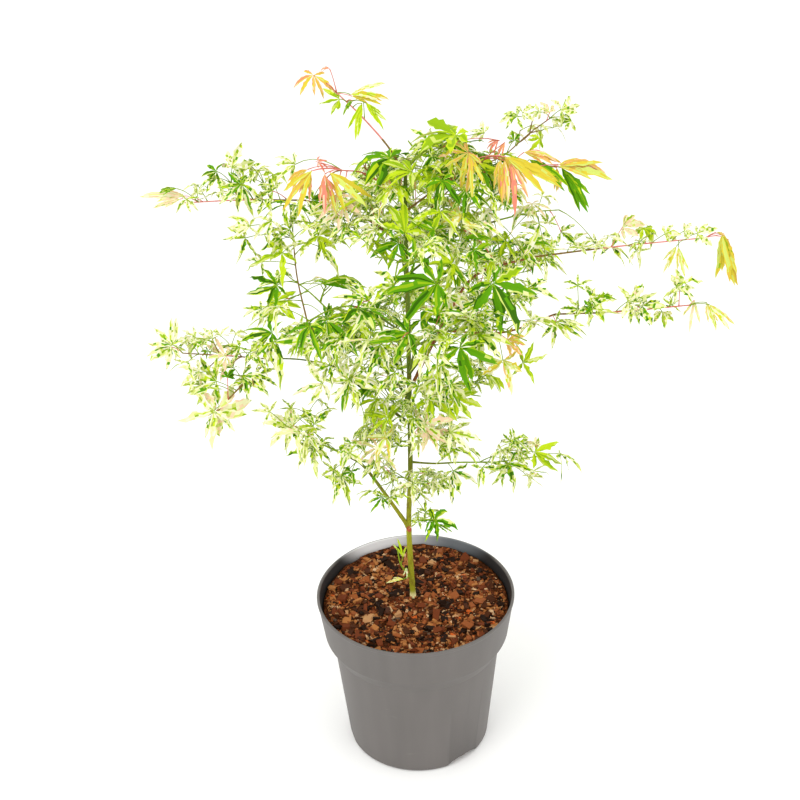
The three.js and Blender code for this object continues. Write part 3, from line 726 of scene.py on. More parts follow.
# %% Limbs in bark
STATION_PITCH = 1.1
NODE_PITCH, TRUNK_PITCH_SHARE, BOUGH_PITCH_SHARE = 34.0, 0.9, 0.7
RING_WIDTH, RING_RISE = 1.3, 0.16
BUD_WIDTH, BUD_AHEAD, BUD_RISES = 1.8, 1.2, (0.25, 0.55)
NODE_GAIN = 0.52
RIDGES, FINE_RIDGES, CRINKLE = 0.035, 0.025, 0.03
FLARE, FLARE_HEIGHT, FLARE_RIDGES = 0.5, 10.0, 0.28
COLLAR_SWELL, COLLAR_LENGTH = 0.55, 4.5
TRUNK_SIDES, BOUGH_SIDES = 28, 16
REDDISH = ("right_main", "right_lower", "upper_left", "upper_right")
# How much slimmer each limb shows in the photograph than its solid is, at its foot and at its tip.
USUALLY_SLIMMER = (0.6, 0.6)
SLIMMER = {
    "trunk": (0.72, 1.1), "right_main": (0.56, 0.6), "low_left": (0.8, 0.7), "left_outer": (0.46, 0.46),
    "left_mid": (0.6, 0.55), "upper_right": (0.4, 0.4),
}


def hump(distance, middle, width):
    """A bell curve of the distance, 1 at its middle."""
    return np.exp(-(((distance - middle) / width) ** 2))


def limb_radius(route, foot, tip, sides, seed, is_trunk):
    """Taper, plus a ring and two opposite bud scars at each node, long ridges, and at the foot a collar on a
    bough or a ridged root flare on the trunk. Distances are in millimetres from the foot."""
    distance = np.linspace(0, route.length, max(12, round(route.length / STATION_PITCH)))[:, None]
    turn = np.linspace(0, 2 * np.pi, sides, endpoint=False)[None]
    taper = foot + (tip - foot) * distance / route.length
    pitch = NODE_PITCH * (TRUNK_PITCH_SHARE if is_trunk else BOUGH_PITCH_SHARE)
    chance = np.random.default_rng(seed)
    ring = np.zeros_like(taper + turn)
    for i, node in enumerate(np.arange(NODE_PITCH * 0.5, route.length - 5, pitch)):
        two_sides = np.abs(np.cos(turn + i * np.pi / 2 + seed)) ** 12
        buds = hump(distance, node + BUD_AHEAD, BUD_WIDTH) * two_sides * chance.uniform(*BUD_RISES)
        ring = ring + hump(distance, node, RING_WIDTH) * RING_RISE + buds
    ridges = RIDGES * np.cos(5 * turn + distance / 23 + seed)
    ridges = ridges + FINE_RIDGES * np.cos(9 * turn - distance / 31)
    crinkle = CRINKLE * waves(turn * foot + 0 * distance, distance + 0 * turn, 8, 3.0, seed)
    radius = taper * (1 + ridges + crinkle) + ring * taper**0.8 * NODE_GAIN
    if is_trunk:
        flare = FLARE * np.clip(1 - distance / FLARE_HEIGHT, 0, 1) ** 2
        radius = radius + flare * (1 + FLARE_RIDGES * np.cos(4 * turn + 0.6))
    else:
        radius = radius * (1 + COLLAR_SWELL * np.exp(-distance / COLLAR_LENGTH))
    return distance[:, 0] / route.length, radius


def limb_radii(name):
    """The radii of a limb's foot and tip: those of its solid, made slimmer."""
    foot, tip = TRUNK_RADII if name == "trunk" else BOUGHS[name]["radii"]
    at_foot, at_tip = SLIMMER.get(name, USUALLY_SLIMMER)
    return foot * at_foot, tip * at_tip


def make_limb(name, node, sides, seed, material):
    route = ROUTES[name]
    shares, radius = limb_radius(route, *limb_radii(name), sides, seed, name == "trunk")
    points, walls, ends = sweep(route.at(shares)[None], radius[None], sides)
    piece = add_piece(f"{node}_bark", points, [walls, ends], [material])
    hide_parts(node)
    return len(walls)


def make_bark():
    olive = bark("green_bark", *(linear(*rgb) for rgb in OLIVE_BARK))
    russet = bark("russet_bark", *(linear(*rgb) for rgb in RUSSET_BARK))
    count = make_limb("trunk", "trunk", TRUNK_SIDES, 1, olive)
    for seed, name in enumerate(BOUGHS, 2):
        material = russet if name in REDDISH else olive
        count += make_limb(name, f"{name}_bough", BOUGH_SIDES, seed, material)
    print("faces of bark:", count)


make_bark()

# %% [markdown]
# ## How the twigs grow
#
# Maples put out buds in opposite pairs, each pair turned from the last. The rule below is the one that
# placed the solid leaves: a stem goes on from its bough, and at each node it bears two side twigs or two
# leaves, with one more leaf at its end. The same seeds give the same plant. Finer twiglets with leaves of
# their own are then added, at the back of the crown along the boughs too.
#
# Each mass states its stem and the habits in which it differs from the usual one: pairs of buds, the
# share of its stem that is bare, the lengths of its twigs and leaves, the share of leaves it keeps, how
# far they rise and fall, its last leaf, its kinds and shapes of leaf, twiglets on each side twig, and
# millimetres between leaves on the stem and between twiglets along the bough.

# %% Masses of foliage
USUAL = {
    "pairs": 3, "bare": 0.15, "twig": 28, "leaf": 34, "keep": 1.0, "lift": 0.12, "fall": 0.5, "last": 1.1,
    "last_fall": 0.6, "last_kind": None, "shapes": ["narrow", "slim"],
    "kinds": {"speckled": 0.56, "pale": 0.2, "green": 0.16, "fresh": 0.08},
    "twiglets": 4, "spacing": 7, "along_bough": 0,
}
LOW = {"twiglets": 1, "spacing": 12}
CORE = {"twiglets": 6, "spacing": 5}
OUTER = {"twiglets": 6, "spacing": 4}
BEHIND = {**OUTER, "along_bough": 5}
FOLIAGE = {
    "foot": {
        "on": "trunk", "foot": [-3, 8, 176], "stem": [[-13, 0, 198], [-16, -4, 220]], "pairs": 1,
        "twig": 0, "leaf": 19, "keep": 0.5, "kinds": {"pale": 1.0}, "shapes": ["folded"], "seed": 7,
    },
    "fork": {
        "on": "trunk", "foot": [-4, 6, 244], "stem": [[10, -10, 256], [20, -22, 264]], "pairs": 1,
        "twig": 0, "leaf": 15, "last": 0, "kinds": {"speckled": 0.6, "fresh": 0.4}, "seed": 16,
    },
    "low_left": {
        "on": "low_left", "stem": [[-82, -42, 362], [-106, -58, 388]], "twig": 26, "leaf": 31,
        "kinds": {"fresh": 0.3, "speckled": 0.4, "pale": 0.3}, "twiglets": 0, "spacing": 16, "seed": 3,
    },
    "low_right": {
        "on": "low_right", "stem": [[78, -15, 320], [112, -24, 330]], "twig": 20, "leaf": 29,
        "kinds": {"speckled": 0.65, "fresh": 0.15, "pale": 0.2}, "twiglets": 0, "spacing": 14, "seed": 8,
    },
    "mid_left": {
        **CORE, "on": "trunk", "foot": [-1, 2, 332], "stem": [[-20, -14, 346], [-36, -26, 352]],
        "pairs": 2, "twig": 20, "leaf": 30, "kinds": {"pale": 0.5, "speckled": 0.5}, "seed": 26,
    },
    "second_right": {
        **CORE, "on": "second_right", "stem": [[42, -32, 400], [60, -44, 404]], "pairs": 2, "twig": 22,
        "leaf": 32, "kinds": {"speckled": 0.5, "fresh": 0.26, "pale": 0.24}, "seed": 15,
    },
    "left_tip": {
        "on": "left_outer", "stem": [[-150, -42, 448], [-188, -50, 456]], "twig": 18, "leaf": 27,
        "kinds": {"speckled": 0.4, "pale": 0.6}, "twiglets": 0, "spacing": 18, "seed": 5,
    },
    "left_drop": {
        "on": "left_outer", "foot": [-117, -34, 440.5], "stem": [[-140, -56, 428], [-162, -76, 412]],
        "pairs": 2, "twig": 16, "leaf": 28, "fall": 0.7, "last_kind": "blush", "twiglets": 0,
        "spacing": 18, "seed": 27,
    },
    "left_upright": {
        "on": "left_mid", "stem": [[-93, 2, 498], [-95, 12, 530]], "twig": 0, "leaf": 33,
        "kinds": {"green": 0.8, "speckled": 0.2}, "spacing": 14, "seed": 13,
    },
    "left_crown": {
        "on": "trunk", "foot": [0, 1, 512], "stem": [[-40, -4, 540], [-84, -10, 554]], "pairs": 2,
        "bare": 0.35, "twig": 22, "leaf": 32, "seed": 34,
    },
    "upper_left": {
        "on": "upper_left", "stem": [[-139, 45, 553], [-190, 50, 550]], "twig": 20, "leaf": 29,
        "lift": 0.5, "fall": 0.1, "last_fall": 0.3, "last_kind": "blush",
        "shapes": ["wavy", "narrow", "slim"], "twiglets": 0, "spacing": 16, "seed": 21,
    },
    "crown_left": {
        "on": "trunk", "foot": [0, 1, 566], "stem": [[-30, -8, 592], [-50, -18, 600]], "pairs": 2,
        "bare": 0.4, "twig": 18, "leaf": 32, "last": 0, "seed": 35,
    },
    "top_left": {
        "on": "trunk", "foot": [1, 1, 586], "stem": [[-12, 5, 610], [-34, 10, 636], [-52, 12, 654]],
        "pairs": 2, "bare": 0.55, "twig": 0, "leaf": 31, "lift": 0.3, "last": 1, "last_fall": 0.5,
        "last_kind": "apricot", "kinds": {"fresh": 0.6, "speckled": 0.4}, "spacing": 14, "seed": 37,
    },
    "top": {
        "on": "trunk", "stem": [[12, 5, 602], [26, 10, 610]], "pairs": 2, "twig": 24, "leaf": 36,
        "last_kind": "salmon", "kinds": {"green": 0.55, "fresh": 0.25, "speckled": 0.2}, "seed": 32,
    },
    "crown_right": {
        "on": "trunk", "foot": [0, 1, 556], "stem": [[46, -6, 588], [100, -8, 590]], "bare": 0.25,
        "twig": 18, "last": 1.45, "last_fall": 0.7, "last_kind": "green",
        "kinds": {"pale_gold": 0.15, "green": 0.45, "fresh": 0.2, "speckled": 0.2}, "seed": 39,
    },
    "upper_right": {
        "on": "upper_right", "stem": [[108, 66, 598], [126, 74, 608]], "twig": 16, "leaf": 27,
        "keep": 0.5, "lift": 0.3, "fall": 0.3, "kinds": {"speckled": 0.3, "pale": 0.6, "fresh": 0.1},
        "shapes": ["wavy"], "twiglets": 0, "spacing": 20, "seed": 6,
    },
    "right_crown": {
        "on": "right_crown", "stem": [[108, 36, 538], [132, 42, 537]], "pairs": 2, "twig": 24, "leaf": 33,
        "kinds": {"speckled": 0.75, "pale": 0.25}, "twiglets": 2, "spacing": 12, "seed": 41,
    },
    "right_long": {
        "on": "right_main", "stem": [[181, 38, 503], [262, 50, 504]], "pairs": 5, "twig": 0, "leaf": 26,
        "keep": 0.8, "lift": 0.55, "fall": 0.25, "last": 0, "kinds": {"speckled": 0.5, "pale": 0.5},
        "shapes": ["wavy", "slim"], "spacing": 14, "seed": 4,
    },
    "right_lower": {
        "on": "right_lower", "stem": [[171, -46, 481], [228, -62, 493]], "pairs": 4, "twig": 0,
        "leaf": 27, "keep": 0.7, "lift": 0.55, "fall": 0.25, "last": 1.2, "last_fall": 0.8,
        "last_kind": "pale_gold", "shapes": ["wavy", "narrow", "slim"], "spacing": 14, "seed": 9,
    },
    "low_front": {
        **LOW, "on": "trunk", "foot": [-2, 4, 292], "stem": [[-12, -12, 304], [-24, -28, 307]],
        "pairs": 2, "twig": 14, "leaf": 24, "kinds": {"speckled": 0.7, "pale": 0.3}, "seed": 51,
    },
    "low_side": {
        **LOW, "on": "trunk", "foot": [-3, 4.5, 272], "stem": [[12, -2, 286], [27, -12, 293]], "pairs": 2,
        "twig": 12, "leaf": 23, "kinds": {"speckled": 0.7, "pale": 0.3}, "seed": 52,
    },
    "waist_right": {
        **CORE, "on": "trunk", "foot": [-1, 2.5, 330], "stem": [[18, -12, 346], [42, -26, 352]],
        "pairs": 2, "twig": 18, "leaf": 28, "kinds": {"pale": 0.5, "speckled": 0.5}, "seed": 53,
    },
    "waist_left": {
        **CORE, "on": "trunk", "foot": [-1, 2, 362], "stem": [[-14, -20, 382], [-34, -40, 390]],
        "pairs": 2, "twig": 20, "leaf": 29, "seed": 54,
    },
    "core_left": {
        **CORE, "on": "trunk", "foot": [0, 1, 530], "stem": [[-16, -20, 554], [-36, -40, 566]],
        "pairs": 2, "twig": 22, "leaf": 30, "seed": 58,
    },
    "core_right": {
        **CORE, "on": "trunk", "foot": [0, 1, 520], "stem": [[22, -18, 542], [46, -38, 554]], "pairs": 2,
        "twig": 22, "leaf": 30, "seed": 56,
    },
    "right_front": {
        **OUTER, "on": "right_front", "stem": [[74, -76, 482], [94, -92, 480]], "pairs": 2, "leaf": 37,
        "kinds": {"speckled": 0.42, "fresh": 0.34, "green": 0.14, "pale": 0.1}, "seed": 44,
    },
    "front": {
        **OUTER, "on": "front", "stem": [[12, -102, 482], [14, -134, 484]], "pairs": 2, "twig": 32,
        "leaf": 38, "seed": 2,
    },
    "front_left": {
        **OUTER, "on": "front_left", "stem": [[-62, -84, 508], [-82, -104, 506]], "pairs": 2, "leaf": 37,
        "seed": 18,
    },
    "upper_front": {
        **OUTER, "on": "upper_front", "stem": [[-7, -84, 546], [-9, -104, 544]], "pairs": 2, "twig": 26,
        "leaf": 36, "seed": 46,
    },
    "back": {
        **BEHIND, "on": "back", "stem": [[-12, 136, 394], [-14, 168, 396]], "twig": 30, "leaf": 38,
        "seed": 10,
    },
    "back_left": {
        **BEHIND, "on": "back_left", "stem": [[-92, 112, 434], [-112, 138, 438]], "leaf": 37, "seed": 19,
    },
    "back_right": {
        **BEHIND, "on": "back_right", "stem": [[96, 122, 452], [118, 150, 456]], "twig": 30, "leaf": 37,
        "seed": 11,
    },
    "upper_back": {
        **BEHIND, "on": "upper_back", "stem": [[6, 108, 544], [8, 136, 544]], "leaf": 37, "seed": 23,
    },
}
TWIGLETS = [(-1, 0.4), (1, 0.45), (-1, 0.75), (1, 0.8), (1, 0.2), (-1, 0.6)]
SIZE_OF = {"speckled": 0.84, "pale": 0.82, "blush": 0.9}
HIDING = {
    "green": 0.62, "plain": 0.6, "apricot": 0.66, "gold": 0.6, "salmon": 0.7, "blush": 0.5, "fresh": 0.5,
    "pale_gold": 0.5, "pale": 0.35, "speckled": 0.35,
}

# %% [markdown]
# ## Where the sky shows
#
# The crown is open in many places. Each opening is a circle in the plane of the trunk, as x, height and
# radius in millimetres. No leaf that the rule grows may cross one as seen from where the plant was
# photographed. The circles were picked from lists that a small program made by comparing the photograph
# with a render.

# %% Openings
OPENINGS = [
    (13, 656, 31), (-25, 620, 11), (-49, 612, 13), (-6, 623, 11), (-62, 629, 19), (120, 424, 15),
    (161, 549, 15), (-45, 528, 7), (-86, 482, 11), (-90, 513, 10), (-94, 383, 12), (-62, 358, 9),
    (70, 333, 9), (76, 364, 20), (57, 354, 10), (31, 268, 9), (-161, 538, 27), (-144, 515, 22),
    (-158, 480, 15), (-131, 313, 17), (-115, 303, 14), (-175, 468, 14), (-149, 348, 12), (-193, 342, 10),
    (-176, 597, 12), (231, 549, 11), (134, 332, 9), (1, 503, 5), (1, 475, 6), (1, 432, 5), (2, 416, 6),
    (3, 398, 6), (0, 375, 6), (-3, 336, 5), (-1, 319, 6), (-225, 421, 8), (251, 492, 16), (255, 509, 8),
    (-191, 384, 8), (143, 545, 10), (170, 441, 8), (139, 501, 8), (-60, 513, 10), (-49, 481, 11),
    (-83, 506, 7), (-43, 512, 9), (-194, 385, 9), (-104, 462, 9), (127, 662, 19), (-154, 621, 12),
    (271, 470, 9), (97, 422, 7), (-207, 556, 11), (66, 637, 9), (116, 463, 8), (104, 443, 7),
    (100, 461, 5), (-80, 523, 5), (-90, 502, 8), (-46, 503, 6), (-10, 455, 5), (5, 458, 5), (51, 626, 6),
    (23, 617, 5), (39, 623, 5), (24, 597, 4), (17, 603, 3), (15, 607, 3), (95, 533, 7), (107, 527, 5),
    (95, 497, 4), (97, 567, 4), (124, 489, 7), (129, 567, 6), (-32, 506, 5), (-48, 472, 4), (-99, 486, 5),
    (-80, 468, 4),
]


# %% Growth rule
CLEAR = 0.3
LEVELLED = 0.6
STALKS, HANGS, ROLLS = (0.45, 0.8), (-0.35, 0.35), (-0.45, 0.45)
PAIR_TURNS, PAIR_WANDER = (0.15, 1.15), (-0.25, 0.25)
AT_NODE = {"ahead": 0.55, "out": 0.8}
LEAF_SIZES, TWIG_LENGTHS, SHORTER_OUTWARDS = (0.85, 1.15), (0.8, 1.2), 0.3
SIDE_LEAF = {"ahead": 0.6, "out": 0.8, "size": 0.88}
STEM_LEAF_SIZES, TWIGLET_LEAF_SIZES = (0.65, 0.95), (0.7, 0.95)
TWIGLET_LENGTHS, BOUGH_SHARES = (5, 14), (0.35, 0.98)
SIDE_TWIG_RADII, TWIGLET_RADII = (0.64, 0.45), (0.6, 0.45)
CROWDED, MID_LEAF, MID_OTHER = 0.4, 0.4, 0.35
PALM_SPACING, SMALLEST = 0.27, 5.0
SWING = 0.5
STALK_PULL = 12


def seeded(seed):
    """Repeatable random numbers from 0 to 1: a linear congruential sequence."""
    state = seed * 7919 + 17
    while True:
        state = (state * 1664525 + 1013904223) % 4294967296
        yield state / 4294967296


def ranged(draw, low, high):
    """The next number of a seeded sequence, from low to high."""
    return low + (high - low) * next(draw)


def in_opening(places):
    """Whether any of some places lies in an opening, seen from where the plant was photographed."""
    for x, z, radius in OPENINGS:
        middle = np.array([x, 0.0, z]) - EYE
        off = unit(places - EYE) - unit(middle)
        if np.linalg.norm(off, axis=-1).min() * np.linalg.norm(middle) < radius:
            return True
    return False


def mixed(*parts):
    """The direction of a weighted sum of directions."""
    return unit(sum(np.asarray(direction) * share for direction, share in parts))


def lay_leaf(base, heading, size, fall, draw):
    """A leaf's frame: its stalk runs from base along heading, and the blade hangs from the stalk's end."""
    stalk = size * ranged(draw, *STALKS)
    hang = fall * LEVELLED + ranged(draw, *HANGS)
    roll = ranged(draw, *ROLLS)
    level = unit(heading * [1, 1, 0])
    along = mixed((level, math.cos(hang)), (UP, -math.sin(hang)))
    above = turn_about(along, roll) @ mixed((level, math.sin(hang)), (UP, math.cos(hang)))
    return {"base": base, "palm": base + heading * stalk, "along": along, "up": above, "size": size}


def hides(leaf, other):
    """Whether a leaf crowds another, or would cover its middle in the photograph."""
    if np.linalg.norm(leaf["palm"] - other["palm"]) < CROWDED * other["size"]:
        return True
    middle = leaf["palm"] + MID_LEAF * leaf["size"] * leaf["along"] - EYE
    other_middle = other["palm"] + MID_OTHER * other["size"] * other["along"] - EYE
    distance = np.linalg.norm(other_middle)
    aside = np.linalg.norm(unit(middle) - unit(other_middle)) * distance
    return aside < HIDING[other["kind"]] * other["size"] and np.linalg.norm(middle) < distance


class Mass:
    """One mass of foliage: its stem, and the twigs and leaves grown on it so far."""

    def __init__(self, name, spec):
        self.name = name
        self.spec = {**USUAL, **spec}
        self.bearer = ROUTES[spec["on"]]
        past_tip = self.bearer.at(1)[0] + self.bearer.ahead(1) * CLEAR
        self.stem = Route([spec.get("foot", past_tip), *spec["stem"]])
        self.draw = seeded(spec["seed"])
        self.fine = seeded(spec["seed"] + 400)
        self.chance = np.random.default_rng(spec["seed"])
        self.reach = self.spec["twig"] + 2 * self.spec["leaf"]
        self.twigs = []
        self.side_twigs = []
        self.leaves = []
        self.placed = []

    def has_room(self, leaf):
        """Near enough to the stem, and not crowded by another leaf."""
        places = leaf["palm"] + np.outer([0.0, 0.4, 0.8, 1.0], leaf["along"] * leaf["size"])
        from_stem = np.linalg.norm(self.stem.at(np.linspace(0, 1, 17)) - places[-1], axis=1).min()
        apart = [np.linalg.norm(other["palm"] - leaf["palm"]) for other in self.leaves]
        is_free = min(apart, default=math.inf) > PALM_SPACING * leaf["size"]
        return from_stem < self.reach and is_free and not in_opening(places)

    def add_leaf(self, leaf, kind=None):
        """Keeps a leaf if its mass has room for it. Without a kind of its own it draws one, and a swing."""
        if self.spec["keep"] < 1 and self.chance.random() > self.spec["keep"]:
            return
        if leaf["size"] > SMALLEST and self.has_room(leaf):
            kinds = self.spec["kinds"]
            leaf["kind"] = kind or self.chance.choice(list(kinds), p=np.array(list(kinds.values())))
            leaf["size"] *= SIZE_OF.get(leaf["kind"], 1.0)
            if kind is None:
                leaf["along"] = turn_about(leaf["up"], self.chance.normal(0, SWING)) @ leaf["along"]
            self.leaves.append(leaf)

    def grow(self):
        spec = self.spec
        for i in range(spec["pairs"]):
            self.grow_node(i)
        ahead = self.stem.ahead(1)
        end = self.stem.at(1)[0] - ahead
        last = lay_leaf(end, ahead, spec["leaf"] * spec["last"], spec["last_fall"], self.draw)
        self.add_leaf(last, spec["last_kind"])
        return self

    def grow_node(self, i):
        """A pair of leaves or side twigs on opposite sides of the stem, each pair turned from the last."""
        spec, draw = self.spec, self.draw
        share = spec["bare"] + (1 - spec["bare"]) * (i + 0.5) / (spec["pairs"] + 0.25)
        at = self.stem.at(share)[0]
        ahead = self.stem.ahead(share)
        side = unit(np.cross(ahead, UP if abs(ahead[2]) < 0.85 else BACK))
        lift = np.cross(side, ahead)
        turn = PAIR_TURNS[i % 2] + ranged(draw, *PAIR_WANDER)
        for hand in (-1, 1):
            out = mixed((side, hand * math.cos(turn)), (lift, hand * math.sin(turn)))
            heading = mixed((ahead, AT_NODE["ahead"]), (out, AT_NODE["out"]), (UP, spec["lift"]))
            size = spec["leaf"] * ranged(draw, *LEAF_SIZES)
            length = spec["twig"] * ranged(draw, *TWIG_LENGTHS) * (1 - SHORTER_OUTWARDS * share)
            if spec["twig"] == 0 or i == spec["pairs"] - 1:
                self.add_leaf(lay_leaf(at, heading, size, spec["fall"], draw))
            else:
                self.grow_side_twig(at, heading, size, length)

    def grow_side_twig(self, at, heading, size, length):
        """A side twig ends in three leaves, the middle one straight on."""
        sideways = unit(np.cross(heading, UP))
        seat = at + heading * (length - 1)
        if in_opening(seat[None]):
            return
        self.twigs.append((at, seat, *SIDE_TWIG_RADII))
        for way in (0, -1, 1):
            swing = mixed((heading, SIDE_LEAF["ahead"] if way else 1), (sideways, SIDE_LEAF["out"] * way))
            leaf_size = size * (SIDE_LEAF["size"] if way else 1)
            self.add_leaf(lay_leaf(seat, swing, leaf_size, self.spec["fall"], self.draw))
        self.side_twigs.append((at, seat, heading, sideways, size))

    def grow_finer(self):
        """Twiglets along each side twig, small leaves along the stem, and twiglets along the bough."""
        chance, leaf_size = self.chance, self.spec["leaf"]
        for at, seat, heading, sideways, size in self.side_twigs:
            for way, share in TWIGLETS[:self.spec["twiglets"]]:
                middle = at + (seat - at) * (share + chance.uniform(-0.1, 0.1))
                self.grow_twiglet(middle, heading, sideways * way, size)
        for share in np.arange(max(self.spec["bare"], 0.2), 0.97, self.spec["spacing"] / self.stem.length):
            at, ahead = self.stem.at(share)[0], self.stem.ahead(share)
            aside = unit(np.cross(ahead, UP)) * chance.choice([-1, 1])
            out = mixed((ahead, 0.45), (aside, chance.uniform(0.2, 0.9)), (UP, chance.uniform(0.1, 1.0)))
            self.add_fine_leaf(at, out, leaf_size * chance.uniform(*STEM_LEAF_SIZES))
        if self.spec["along_bough"]:
            step = self.spec["along_bough"] / self.bearer.length
            for i, share in enumerate(np.arange(*BOUGH_SHARES, step)):
                heading = self.bearer.ahead(share)
                sideways = unit(np.cross(heading, UP)) * (1 if i % 2 else -1)
                self.grow_twiglet(self.bearer.at(share)[0], heading, sideways, leaf_size)
        return self

    def grow_twiglet(self, middle, heading, sideways, size):
        """A short twig that points forwards and to one side, with a pair of leaves at its tip."""
        chance = self.chance
        out = mixed((heading, 0.7), (sideways, 0.8), (UP, chance.uniform(-0.2, 0.9)))
        tip = middle + out * chance.uniform(*TWIGLET_LENGTHS)
        if in_opening(tip[None]):
            return
        self.twigs.append((middle, tip, *TWIGLET_RADII))
        for hand in (-1, 1):
            turned = mixed((out, 1.0), (sideways, hand * 0.7), (UP, chance.uniform(0, 0.4)))
            self.add_fine_leaf(tip, turned, size * chance.uniform(*TWIGLET_LEAF_SIZES))

    def add_fine_leaf(self, base, out, size):
        self.add_leaf(lay_leaf(base, out, size, self.spec["fall"] * 0.7, self.fine))

    def add_feature(self, palm, turn, facing, size, kind, family=None):
        """A leaf at a place of its own, on a stalk from the nearest point of its bough, stem or twigs."""
        palm = np.array(palm, float)
        to_eye = unit(EYE - palm)
        level = unit(np.cross(UP, to_eye))
        above = mixed((to_eye, facing), (UP, 1 - facing))
        along = math.cos(turn) * level + math.sin(turn) * np.cross(to_eye, level)
        along = unit(along - above * (along @ above))
        seats = [self.stem.at(np.linspace(0.1, 1, 24)), self.bearer.at(np.linspace(0.4, 1, 24))]
        seats = np.vstack(seats + [twig[1][None] for twig in self.twigs])
        base = seats[np.linalg.norm(seats - palm + along * STALK_PULL, axis=1).argmin()]
        leaf = {"base": base, "palm": palm, "along": along, "up": above, "size": size, "kind": kind}
        self.placed.append({**leaf, "family": family})

    def make_way(self, placed):
        """Drops each grown leaf that crowds a listed one of any mass, or hangs in front of it."""
        kept = [leaf for leaf in self.leaves if not any(hides(leaf, other) for other in placed)]
        self.leaves = kept + self.placed


MASSES = {name: Mass(name, spec).grow().grow_finer() for name, spec in FOLIAGE.items()}
print("leaves:", sum(len(mass.leaves) for mass in MASSES.values()), "in", len(MASSES), "masses")
